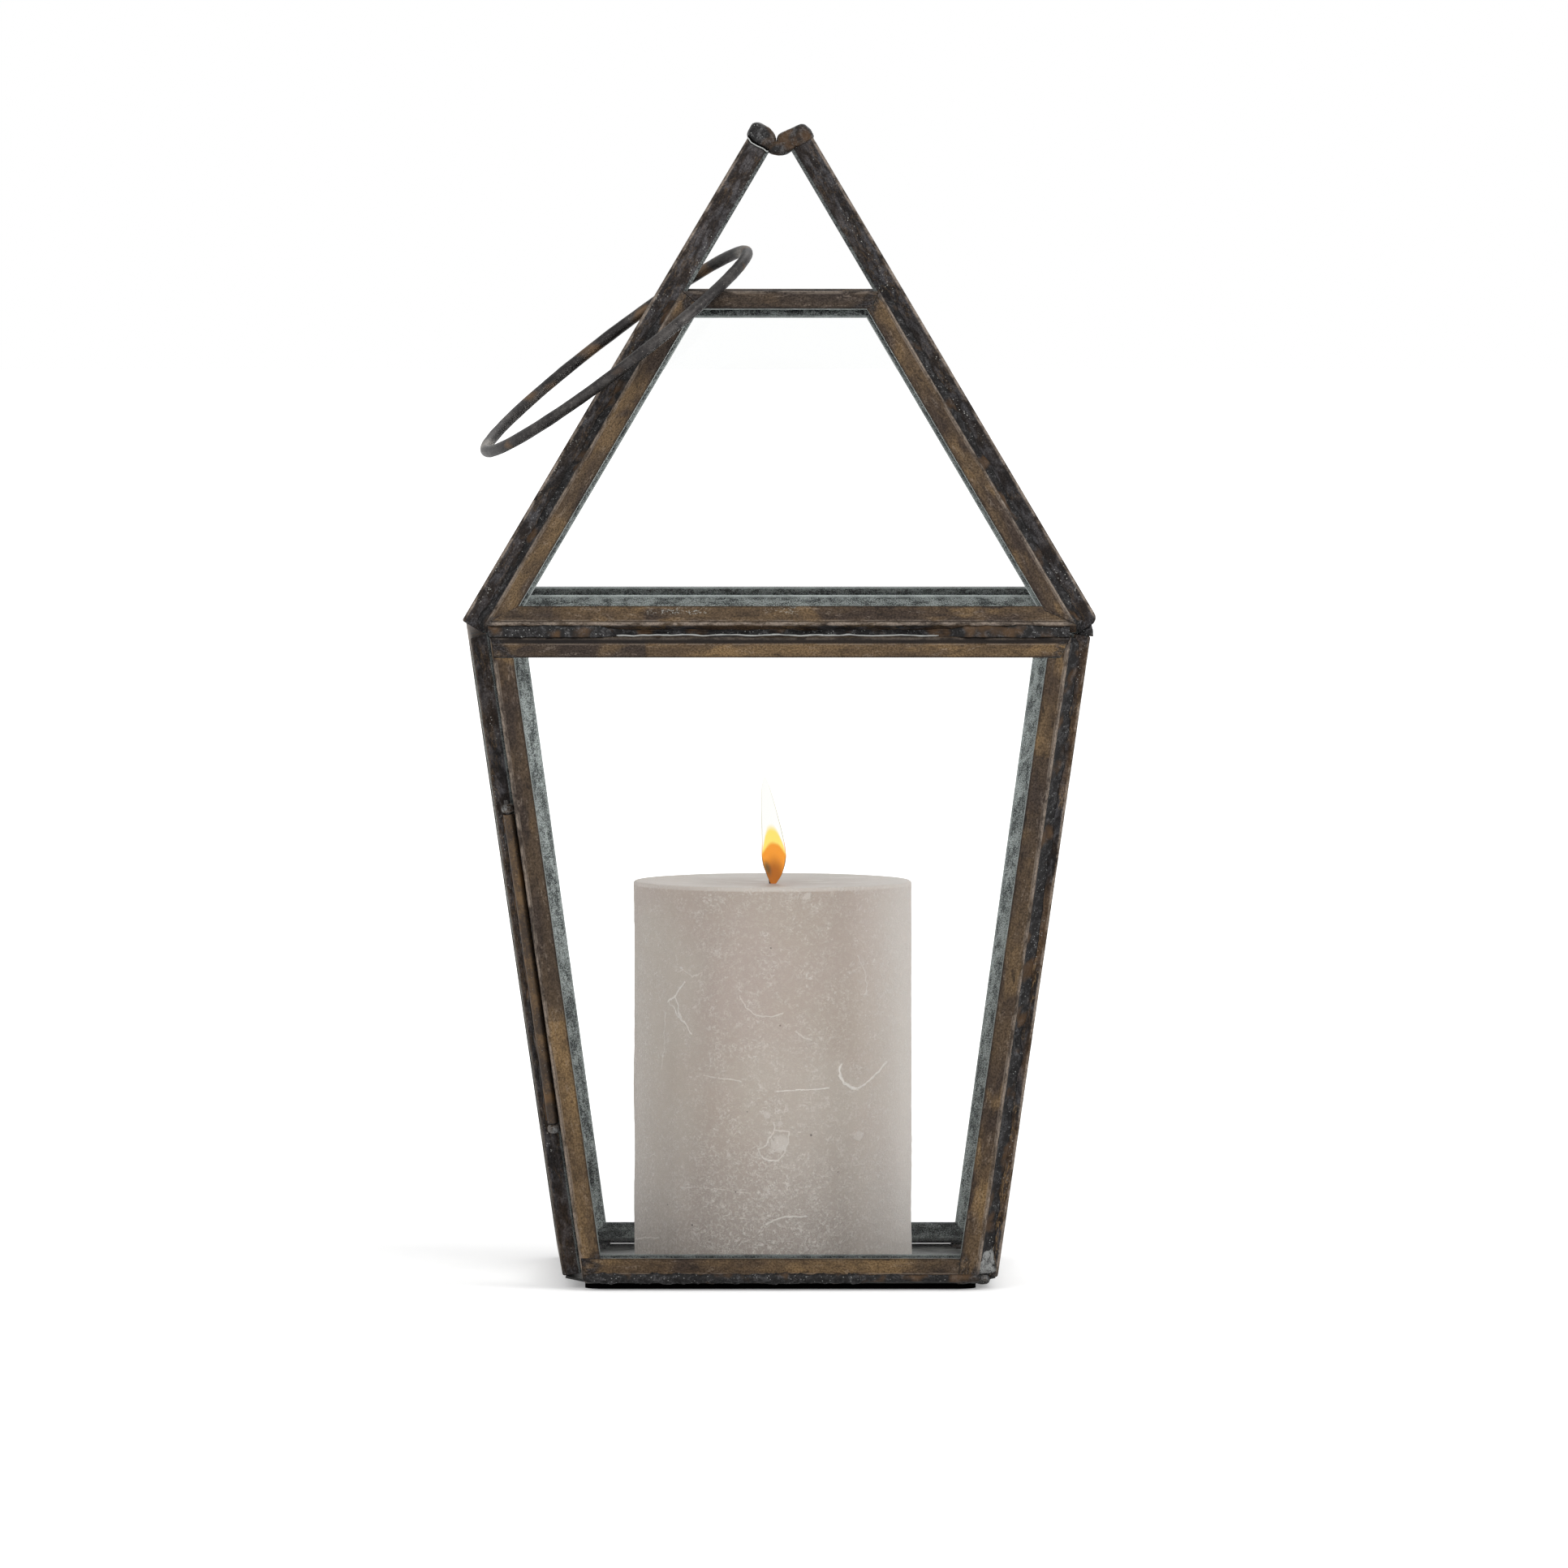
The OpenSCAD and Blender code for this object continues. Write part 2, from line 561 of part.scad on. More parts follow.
// Four strips bent up from the edges of the pan to the feet of the frames
module sill_strips() {
    long = 2 * pan_half - 2 * sill_end;
    color(tin) for (k = [0 : 3])
        rotate(90 * k) translate([0, -sill_from, pad_t]) rotate([-sill_angle, 0, 0])
            translate([-long / 2, -sill_w, 0]) cube([long, sill_w, pan_t]);
}
module base_pad() {
    inner = pad_w / 2 - pad_corner_r;
    color(pad_black) linear_extrude(pad_t) {
        square([pad_w, 2 * inner], center = true);
        square([2 * inner, pad_w], center = true);
        for (x = [-inner, inner], y = [-inner, inner]) translate([x, y]) circle(pad_corner_r);
    }
}
module candle() {
    r = candle_d / 2;
    dish_half = r - rim_w;
    dish_r = (dish_half * dish_half + dish_depth * dish_depth) / 2 / dish_depth;
    color(wax) translate([-candle_left, 0, pan_top + candle_gap]) rotate_extrude($fn = 96) difference() {
        union() {
            square([r, candle_h - rim_r]);
            square([r - rim_r, candle_h]);
            translate([r - rim_r, candle_h - rim_r]) circle(rim_r);
        }
        translate([0, candle_h - dish_depth + dish_r]) circle(dish_r, $fn = 200);
        translate([0, candle_h - dish_depth - wick_in]) square([wick_d / 2 + wick_play, 2 * wick_in]);
    }
}
module wick() {
    foot = pan_top + candle_gap + candle_h - dish_depth - wick_in + wick_play;
    color(char_black) translate([-candle_left, 0, foot]) cylinder(d = wick_d, h = wick_in + wick_out);
}

front_top();
front_bottom();
front_left();
front_right();
front_glass();
right_top();
right_bottom();
right_front();
right_back();
right_glass();
back_top();
back_bottom();
back_left();
back_right();
back_glass();
door_top();
door_bottom();
door_hinge_side();
door_free_side();
door_glass();
roof_front_top();
roof_front_bottom();
roof_front_left();
roof_front_right();
roof_front_glass();
roof_back_top();
roof_back_bottom();
roof_back_left();
roof_back_right();
roof_back_glass();
roof_left_bottom();
roof_left_front_leg();
roof_left_back_leg();
roof_left_glass();
roof_right_bottom();
roof_right_front_leg();
roof_right_back_leg();
roof_right_glass();
apex_cap_left();
apex_cap_right();
apex_bridge();
ring_handle();
hinge_tube();
hinge_tube_solder();
hinge_pin();
hinge_pin_solder();
door_stops();
body_corner_solder();
roof_corner_solder();
seam_solder();
base_solder();
floor_pan();
sill_strips();
base_pad();
candle();
wick();
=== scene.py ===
"""Dresses a candle lantern: panes in antiqued brass channel, tinned sheet, blackened solder, a worn wire
ring, a rustic pillar candle with its flame, and a plain pale floor."""

import sys
import logging
import math
from dataclasses import dataclass, field
from enum import Enum
from functools import cached_property, reduce
from typing import Optional, Sequence, Union

import bpy
import numpy as np
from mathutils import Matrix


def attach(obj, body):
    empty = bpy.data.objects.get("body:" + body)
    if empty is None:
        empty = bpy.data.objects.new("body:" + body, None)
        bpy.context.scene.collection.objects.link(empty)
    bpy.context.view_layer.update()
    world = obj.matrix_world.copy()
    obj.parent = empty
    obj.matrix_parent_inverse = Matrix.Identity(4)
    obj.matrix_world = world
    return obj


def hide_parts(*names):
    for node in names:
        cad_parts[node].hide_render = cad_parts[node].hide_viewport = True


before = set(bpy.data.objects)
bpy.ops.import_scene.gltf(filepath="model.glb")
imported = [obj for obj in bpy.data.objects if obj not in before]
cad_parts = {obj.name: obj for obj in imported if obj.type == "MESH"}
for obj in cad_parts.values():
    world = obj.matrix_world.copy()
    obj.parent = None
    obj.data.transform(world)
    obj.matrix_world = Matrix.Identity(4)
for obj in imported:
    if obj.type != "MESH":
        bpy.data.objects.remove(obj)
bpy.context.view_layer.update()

LOG = logging.getLogger("lantern")
MM = 0.001
Point = Sequence[float]
Size = Union[float, tuple]
Colour = tuple[float, float, float, float]


class Side(Enum):
    """The four sides of the square core, counted in quarter turns from the front."""

    FRONT = 0
    RIGHT = 1
    BACK = 2
    LEFT = 3


class Storey(Enum):
    """What a frame belongs to."""

    BODY = "body"
    DOOR = "door"
    ROOF = "roof"
    GABLE = "gable"


# ---------------------------------------------------------------- plan of the lantern, in millimetres


def turn(axis: Point, degrees: float) -> np.ndarray:
    """Rotation matrix about an axis through the origin: I + sin(a) K + (1 - cos(a)) K K.

    Args:
        axis: direction to turn about.
        degrees: angle, by the right-hand rule.

    Returns:
        The 3 x 3 matrix.
    """
    x, y, z = np.asarray(axis, float) / np.linalg.norm(axis)
    k = np.array([[0, -z, y], [z, 0, -x], [-y, x, 0]])
    a = math.radians(degrees)
    return np.eye(3) + math.sin(a) * k + (1 - math.cos(a)) * k @ k


@dataclass(frozen=True)
class Strip:
    """One channel's own axes: along its edge, across its flange from the web, and out through it."""

    start: np.ndarray
    along: np.ndarray
    across: np.ndarray
    out: np.ndarray
    length: float
    thick: float

    def place(self, s: np.ndarray, v: np.ndarray, w: np.ndarray) -> np.ndarray:
        """Points from distances along, across and out: start + s along + v across + w out."""
        return self.start + s[..., None] * self.along + v[..., None] * self.across + w[..., None] * self.out


@dataclass(frozen=True)
class Face:
    """One side's plane: its middle foot, its axes and its outline, which runs anticlockwise from outside."""

    foot: np.ndarray
    right: np.ndarray
    up: np.ndarray
    out: np.ndarray
    outline: np.ndarray
    thick: float

    def strip(self, edge: int) -> Strip:
        """Axes of one channel.

        Args:
            edge: the edge of the outline that it runs along, which starts at the point of the same number.

        Returns:
            The axes.
        """
        a, b = self.outline[edge], self.outline[(edge + 1) % len(self.outline)]
        length = float(np.linalg.norm(b - a))
        t = (b - a) / length
        along = t[0] * self.right + t[1] * self.up
        across = -t[1] * self.right + t[0] * self.up
        start = self.foot + a[0] * self.right + a[1] * self.up
        return Strip(start, along, across, self.out, length, self.thick)


@dataclass(frozen=True)
class Plan:
    """Sizes that the pieces made here share with the solid parts.

    The body's sides are body_top wide above and body_bottom below, over body_h, from height body_z. The roof
    is roof_base wide, would peak at roof_peak above its base, and its panels stop at roof_panel. Channel and
    gable_channel are how thick the channels are. The hinge's axis stands hinge_off from both webs, the door
    is ajar by so many degrees, and tube_r is the hinge tube's radius."""

    body_top: float = 153.1
    body_bottom: float = 105.2
    body_h: float = 171.3
    body_z: float = 3.8985
    roof_base: float = 155.8
    roof_peak: float = 131.9
    roof_panel: float = 87.3
    channel: float = 5.2
    gable_channel: float = 6.9
    hinge_off: float = 1.8
    ajar: float = 1.85
    tube_r: float = 1.5

    @property
    def body_lean(self) -> float:
        """Lean of the body's sides from upright, in degrees."""
        return math.degrees(math.atan((self.body_top - self.body_bottom) / 2 / self.body_h))

    @property
    def roof_lean(self) -> float:
        """Lean of the roof's sides from upright, in degrees."""
        return math.degrees(math.atan(self.roof_base / 2 / self.roof_peak))

    @property
    def roof_z(self) -> float:
        """Height of the roof's base."""
        return self.body_z + self.body_h

    @property
    def hinge_axis(self) -> np.ndarray:
        """Direction of the hinge, up the front left edge.

        Returns:
            It, of length 1.
        """
        run = (self.body_top - self.body_bottom) / 2
        v = np.array([-run, -run, self.body_h])
        return v / np.linalg.norm(v)

    @property
    def hinge_foot(self) -> np.ndarray:
        """Foot of the hinge's axis: the foot of the edge, moved out from both webs.

        Returns:
            The point.
        """
        c, s = math.cos(math.radians(self.body_lean)), math.sin(math.radians(self.body_lean))
        half = self.body_bottom / 2 + self.hinge_off * c
        return np.array([-half, -half, self.body_z - 2 * self.hinge_off * s])

    def swung(self, points: np.ndarray) -> np.ndarray:
        """Points of the door as it stands ajar: turned about the hinge."""
        return (points - self.hinge_foot) @ turn(self.hinge_axis, self.ajar).T + self.hinge_foot

    def at_hinge(self, x: object, y: object, z: object) -> np.ndarray:
        """Points in the hinge's own axes, before the door swings.

        Args:
            x: how far they are from its axis, away from the front frame's web.
            y: how far, away from the door's web.
            z: how far along it.

        Returns:
            The points.
        """
        tip = math.degrees(math.acos(self.hinge_axis[2]))
        axes = turn((0, 0, 1), 225) @ turn((0, 1, 0), tip) @ turn((0, 0, 1), -45)
        return self.hinge_foot + grid(x, y, z) @ axes.T

    def face(self, storey: Storey, side: Side) -> Face:
        """Plane and outline of one frame.

        Args:
            storey: body, door, roof panel or gable.
            side: which side of the core it stands on.

        Returns:
            The face, in the lantern's frame.
        """
        roof = storey in (Storey.ROOF, Storey.GABLE)
        lean = math.radians(-self.roof_lean if roof else self.body_lean)
        spin = turn((0, 0, 1), 90 * side.value)
        wide, z = (self.roof_base, self.roof_z) if roof else (self.body_bottom, self.body_z)
        foot = spin @ np.array([0, -wide / 2, z])
        axes = [spin @ np.array(v) for v in ((1, 0, 0), (0, -math.sin(lean), math.cos(lean)))]
        axes.append(np.cross(*axes))
        if storey is Storey.DOOR:
            r = turn(self.hinge_axis, self.ajar)
            foot, axes = self.swung(foot), [r @ a for a in axes]
        if storey is Storey.GABLE:
            rise = self.roof_peak / math.cos(lean)
            outline = [(-wide / 2, 0), (wide / 2, 0), (0, rise)]
        else:
            top = self.roof_base * (1 - self.roof_panel / self.roof_peak) if roof else self.body_top
            rise = (self.roof_panel if roof else self.body_h) / math.cos(lean)
            outline = [(-wide / 2, 0), (wide / 2, 0), (top / 2, rise), (-top / 2, rise)]
        thick = self.gable_channel if storey is Storey.GABLE else self.channel
        return Face(foot, *axes, np.array(outline, float), thick)


PLAN = Plan()


# ---------------------------------------------------------------- surfaces from arrays


def grid(x: object, y: object, z: object) -> np.ndarray:
    """Points from their three coordinates, each a number or an array, spread over one another's shape."""
    return np.stack(np.broadcast_arrays(x, y, z), -1).astype(float)


def circle(steps: int) -> np.ndarray:
    """Angles once round, in radians, without the last, which is the first again."""
    return np.linspace(0, 2 * math.pi, steps, endpoint=False)


def along(path: Sequence[Point], at: np.ndarray, marks: Optional[np.ndarray] = None) -> np.ndarray:
    """Points on a bent line: between neighbours, each coordinate changes in proportion.

    Args:
        path: the line's points.
        at: where on it, counted by the marks.
        marks: what each point of the path counts as, by default 0, 1, 2 and on.

    Returns:
        One point for each place.
    """
    path = np.array(path, float)
    marks = np.arange(len(path)) if marks is None else marks
    return np.stack([np.interp(at, marks, one) for one in path.T], -1)


def ripple(points: np.ndarray, size: float, seed: int, octaves: int = 3) -> np.ndarray:
    """Smooth unevenness of about -1 to 1: a sum of sines, sin(2 pi k . p / size + phase), over random
    directions k, where each octave is half as large and half as strong. The sum is divided by about what
    one scale and three scales add up to.

    Args:
        points: positions in millimetres, of any shape that ends in 3.
        size: length of the longest waves, in millimetres.
        seed: fixes the directions and phases.
        octaves: how many scales are added.

    Returns:
        One value per point.
    """
    rng = np.random.default_rng(seed)
    waves, one_scale, three_scales = 7, 2.6, 1.75
    total = np.zeros(points.shape[:-1])
    for octave in range(octaves):
        k = rng.normal(size=(waves, 3))
        k *= (rng.uniform(0.7, 1.4, waves) / np.linalg.norm(k, axis=1))[:, None] * 2**octave / size
        phases = rng.uniform(0, 2 * math.pi, waves)
        total += np.sin(2 * math.pi * (points @ k.T) + phases).sum(-1) / one_scale / 2**octave
    return total / three_scales


@dataclass
class Shell:
    """A closed skin of four-sided faces with a fan of triangles at each open end."""

    points: np.ndarray
    quads: np.ndarray
    fans: np.ndarray

    @staticmethod
    def sweep(rings: np.ndarray, looped: bool = False) -> "Shell":
        """Joins rings of points, each closed on itself, into one skin.

        Args:
            rings: array of shape (along, around, 3), each ring anticlockwise seen from the far end.
            looped: joins the last ring to the first, where otherwise both ends are closed to their middle.

        Returns:
            The skin.
        """
        n, m = rings.shape[:2]
        i, j = np.meshgrid(np.arange(n if looped else n - 1), np.arange(m), indexing="ij")
        i2, j2 = (i + 1) % n, (j + 1) % m
        quads = np.stack([i * m + j, i * m + j2, i2 * m + j2, i2 * m + j], -1).reshape(-1, 4)
        points, fans = rings.reshape(-1, 3), np.zeros((0, 3), int)
        if not looped:
            a, b, last = np.arange(m), (np.arange(m) + 1) % m, (n - 1) * m
            foot, tip = np.full(m, n * m), np.full(m, n * m + 1)
            fans = np.concatenate([np.stack([b, a, foot], -1), np.stack([last + a, last + b, tip], -1)])
            points = np.concatenate([points, [rings[0].mean(0), rings[-1].mean(0)]])
        return Shell(points, quads, fans)

    @staticmethod
    def cord(line: np.ndarray, radius: np.ndarray, upright: Point = (0, 1, 0)) -> "Shell":
        """Sweeps a ten-sided ring along a line: p = line + r (cos a side + sin a front), with side square
        to the run and to the upright, and front square to the run and to side.

        Args:
            line: points, whose run is never along the upright.
            radius: the cord's radius at each.
            upright: the direction that the ring is held by.

        Returns:
            The skin.
        """
        a = circle(10)[:, None]
        run = np.gradient(line, axis=0)
        run /= np.linalg.norm(run, axis=1)[:, None]
        side = np.cross(run, upright)
        side /= np.linalg.norm(side, axis=1)[:, None]
        front = np.cross(run, side)
        ring = np.cos(a) * side[:, None] + np.sin(a) * front[:, None]
        return Shell.sweep(line[:, None] + radius[:, None, None] * ring)


def make_piece(
    name: str,
    shells: Sequence[Shell],
    finish: bpy.types.Material,
    body: str,
    stands_for: Sequence[str] = (),
    values: Optional[dict[str, np.ndarray]] = None,
) -> None:
    """Makes one smooth object of one or more skins, with its place in its mesh.

    Args:
        name: the piece's name.
        shells: skins in millimetres.
        finish: its material.
        body: the body that it rides on.
        stands_for: solid parts that it is shown in place of.
        values: numbers per point for the material to read, by name.
    """
    starts = np.cumsum([0] + [len(s.points) for s in shells])
    points = np.concatenate([s.points for s in shells]) * MM
    quads = np.concatenate([s.quads + at for s, at in zip(shells, starts)])
    fans = np.concatenate([s.fans + at for s, at in zip(shells, starts)])
    corners = np.concatenate([quads.ravel(), fans.ravel()]).astype(np.int32)
    sizes = np.concatenate([np.full(len(quads), 4), np.full(len(fans), 3)])
    mesh = bpy.data.meshes.new(name)
    mesh.vertices.add(len(points))
    mesh.vertices.foreach_set("co", points.astype(np.float32).ravel())
    mesh.loops.add(len(corners))
    mesh.loops.foreach_set("vertex_index", corners)
    mesh.polygons.add(len(sizes))
    mesh.polygons.foreach_set("loop_start", (np.cumsum(sizes) - sizes).astype(np.int32))
    mesh.polygons.foreach_set("use_smooth", np.ones(len(sizes), bool))
    for key, numbers in (values or {}).items():
        mesh.attributes.new(key, "FLOAT", "POINT").data.foreach_set("value", numbers.astype(np.float32))
    mesh.update(calc_edges=True)
    mesh.validate()
    mesh.materials.append(finish)
    piece = bpy.data.objects.new(name, mesh)
    bpy.context.scene.collection.objects.link(piece)
    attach(piece, body)
    if stands_for:
        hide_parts(*stands_for)
    LOG.info("%s: %d faces on %s", name, len(sizes), body)


def coat(node: str, finish: bpy.types.Material) -> None:
    """Puts a finish on a solid part in place of its plain one.

    Args:
        node: the part's name.
        finish: its new material.
    """
    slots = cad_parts[node].data.materials
    if not slots:
        slots.append(finish)
    for index in range(len(slots)):
        slots[index] = finish
    LOG.info("%s: dressed", node)


# ---------------------------------------------------------------- shader arithmetic


def tone(red: float, green: float, blue: float) -> Colour:
    """A colour as the eye reads it, 0 to 255 a channel, in the linear numbers that shaders take."""
    shares = [c / 255 for c in (red, green, blue)]
    return (*(c / 12.92 if c <= 0.04045 else ((c + 0.055) / 1.055) ** 2.4 for c in shares), 1.0)


class Wire:
    """A shader socket that is written as arithmetic: Math nodes for numbers, Vector Math for vectors."""

    def __init__(self, paint: "Paint", socket: bpy.types.NodeSocket, vector: bool = False) -> None:
        """Wraps a socket of a node tree."""
        self.paint, self.socket, self.vector = paint, socket, vector

    def _with(self, operation: str, first: object, second: object) -> "Wire":
        """One node of arithmetic. A vector times a number is scaled.

        Args:
            operation: what the node does.
            first: a wire, a number or a tuple of three.
            second: another.

        Returns:
            The result, which is a vector if either of them is.
        """
        arrows = [isinstance(v, tuple) or (isinstance(v, Wire) and v.vector) for v in (first, second)]
        kind, inputs = "VectorMath" if any(arrows) else "Math", {0: first, 1: second}
        if operation == "MULTIPLY" and arrows[0] != arrows[1]:
            arrow, number = (first, second) if arrows[0] else (second, first)
            operation, inputs = "SCALE", {0: arrow, "Scale": number}
        node = self.paint.node(kind, {"operation": operation}, inputs)
        return Wire(self.paint, node.outputs[0], any(arrows))

    def __add__(self, other: object) -> "Wire":
        """self + other."""
        return self._with("ADD", self, other)

    __radd__ = __add__

    def __sub__(self, other: object) -> "Wire":
        """self - other."""
        return self._with("SUBTRACT", self, other)

    def __rsub__(self, other: object) -> "Wire":
        """other - self."""
        return self._with("SUBTRACT", other, self)

    def __mul__(self, other: object) -> "Wire":
        """self * other."""
        return self._with("MULTIPLY", self, other)

    __rmul__ = __mul__

    def __abs__(self) -> "Wire":
        """abs(self)."""
        return self._with("ABSOLUTE", self, 0.0)

    def least(self, other: object) -> "Wire":
        """The smaller of two numbers."""
        return self._with("MINIMUM", self, other)

    def most(self, other: object) -> "Wire":
        """The larger of two numbers."""
        return self._with("MAXIMUM", self, other)

    def dot(self, arrow: Point) -> "Wire":
        """Length of this vector along a fixed one."""
        node = self.paint.node("VectorMath", {"operation": "DOT_PRODUCT"}, {0: self, 1: tuple(arrow)})
        return Wire(self.paint, node.outputs["Value"])

    def length(self) -> "Wire":
        """How long this vector is."""
        node = self.paint.node("VectorMath", {"operation": "LENGTH"}, {0: self})
        return Wire(self.paint, node.outputs["Value"])

    def rise(self, low: float, high: float) -> "Wire":
        """A smooth step, which falls where high is below low.

        Args:
            low: it is 0 up to here.
            high: it is 1 from here.

        Returns:
            The step.
        """
        inputs = {"Value": self, "From Min": low, "From Max": high}
        node = self.paint.node("MapRange", {"interpolation_type": "SMOOTHSTEP"}, inputs)
        return Wire(self.paint, node.outputs["Result"])


class Paint:
    """A node tree as it is being mixed, for a material or for the world."""

    shift: Point = (0, 0, 0)

    def __init__(self, name: str, home: str = "materials") -> None:
        """Starts an empty tree.

        Args:
            name: the name of the material or world.
            home: materials, or worlds.
        """
        self.owner = getattr(bpy.data, home).new(name)
        self.owner.use_nodes = True
        self.tree = self.owner.node_tree
        self.tree.nodes.clear()

    @cached_property
    def place(self) -> Wire:
        """The place on the piece, in millimetres."""
        return Wire(self, self.node("TexCoord").outputs["Object"], True) * 1000.0

    def node(
        self, kind: str, settings: Optional[dict[str, object]] = None, inputs: Optional[dict] = None
    ) -> bpy.types.Node:
        """Adds a shader node.

        Args:
            kind: its type, without the ShaderNode prefix.
            settings: properties, set before the sockets.
            inputs: values or links by socket name or number.

        Returns:
            The node.
        """
        made = self.tree.nodes.new("ShaderNode" + kind)
        for key, value in (settings or {}).items():
            setattr(made, key, value)
        for key, value in (inputs or {}).items():
            value = value.socket if isinstance(value, Wire) else value
            if isinstance(value, bpy.types.NodeSocket):
                self.tree.links.new(value, made.inputs[key])
            else:
                made.inputs[key].default_value = value
        return made

    def attribute(self, name: str) -> Wire:
        """A number kept on the mesh's points."""
        return Wire(self, self.node("Attribute", {"attribute_name": name}).outputs["Fac"])

    def seen(self) -> Wire:
        """Which light is looked at.

        Returns:
            1 for what the camera sees straight, mirrored or through glass, and 0 for other light.
        """
        rays = self.node("LightPath").outputs
        kinds = ("Camera", "Glossy", "Transmission")
        return reduce(Wire.most, [Wire(self, rays[f"Is {kind} Ray"]) for kind in kinds])

    def stretched(self, size: Size, shift: Optional[Point]) -> Wire:
        """The place counted in features of a size, one number or three, from a shift or the tree's own."""
        size = size if isinstance(size, tuple) else (size,) * 3
        return self.place * tuple(1 / s for s in size) + tuple(self.shift if shift is None else shift)

    def noise(
        self,
        size: Size,
        detail: float,
        roughness: float = 0.5,
        bend: float = 0.0,
        shift: Optional[Point] = None,
    ) -> Wire:
        """Cloudy values about 0.5.

        Args:
            size: about how large a cloud is, in millimetres, by one number or three.
            detail: how many finer scales are added.
            roughness: how strong each finer scale is.
            bend: how far the pattern is bent.
            shift: where it starts, in features, by default the tree's own.

        Returns:
            The values.
        """
        inputs = {"Vector": self.stretched(size, shift), "Scale": 1.0, "Detail": detail}
        inputs |= {"Roughness": roughness, "Distortion": bend}
        return Wire(self, self.node("TexNoise", None, inputs).outputs["Fac"])

    def dots(self, size: float, start: float, full: float) -> Wire:
        """Soft dots about a size apart, which are 0 at start and 1 at full, as shares of it from a middle."""
        inputs = {"Vector": self.stretched(size, None), "Scale": 1.0}
        return Wire(self, self.node("TexVoronoi", None, inputs).outputs["Distance"]).rise(start, full)

    def mix(self, share: object, first: object, second: object) -> Wire:
        """First colour where share is 0 and second where it is 1."""
        node = self.node("Mix", {"data_type": "RGBA", "clamp_factor": True}, {0: share, 6: first, 7: second})
        return Wire(self, node.outputs[2], True)

    def joined(self, x: object, y: object, z: object = 0.0) -> Wire:
        """A vector of three numbers."""
        return Wire(self, self.node("CombineXYZ", None, {0: x, 1: y, 2: z}).outputs[0], True)

    def stroke(self, at: Wire, line: Sequence[Point]) -> Wire:
        """Distance from a place to a bent line: the least over its stretches a to b of the length of
        q - t (b - a), where q = place - a and t = q . (b - a) / |b - a|^2, held between 0 and 1.

        Args:
            at: the place, with no depth.
            line: two or more points (x, y).

        Returns:
            The distance.
        """
        gaps = []
        for a, b in zip(line[:-1], line[1:]):
            run = np.subtract(b, a)
            start = at - (*a, 0.0)
            share = start.dot((*(run / (run @ run)), 0.0)).most(0.0).least(1.0)
            gaps.append((start - self.joined(share * float(run[0]), share * float(run[1]))).length())
        return reduce(Wire.least, gaps)

    def bump(self, height: Wire, distance: float, strength: float = 1.0) -> Wire:
        """Normals of a surface that stands out by height times distance, in millimetres."""
        inputs = {"Height": height, "Distance": distance * MM, "Strength": strength}
        return Wire(self, self.node("Bump", None, inputs).outputs["Normal"], True)

    def finish(self, **sockets: object) -> bpy.types.Material:
        """Ends the material in one Principled shader, whose sockets are named with underscores for spaces."""
        named = {key.replace("_", " "): value for key, value in sockets.items()}
        return self.output(self.node("BsdfPrincipled", None, named))

    def output(self, shader: bpy.types.Node, kind: str = "OutputMaterial") -> bpy.types.ID:
        """Sends a shader to the surface, or to the world, and gives what owns the tree."""
        self.node(kind, None, {"Surface": shader.outputs[0]})
        return self.owner


# ---------------------------------------------------------------- finishes


class Hue(Enum):
    """What a stretch of a channel has turned."""

    DARK = "dark"
    GOLD = "gold"
    FROST = "frost"


@dataclass(frozen=True)
class Stretch:
    """A stretch of a channel's flange that has turned, from start to stop along the channel. Share is how far
    it has turned, and soft is how far its ends fade, to either side."""

    hue: Hue
    start: float
    stop: float
    share: float = 0.7
    soft: float = 0.4


@dataclass(frozen=True)
class Wear:
    """How a channel has worn and where shade is painted on it: a darkening from 0 for warm browns to 1 for
    dark, which is painted shade on the roof, the gables and the door's hinge side, flecks on the web from 0
    to 1, how wide the darker margin along the fold is in millimetres, partly blackened metal and partly
    painted shade, and how dull the tin is from 0 to 1."""

    painted_shade: float = 0.0
    fleck: float = 0.3
    sooty: float = 0.8
    dull: float = 0.1


@dataclass(frozen=True)
class Finish:
    """What all finishes share: a name, and a method that mixes the material."""

    name: str

    def dress(self) -> bpy.types.Material:
        """The material."""
        raise NotImplementedError


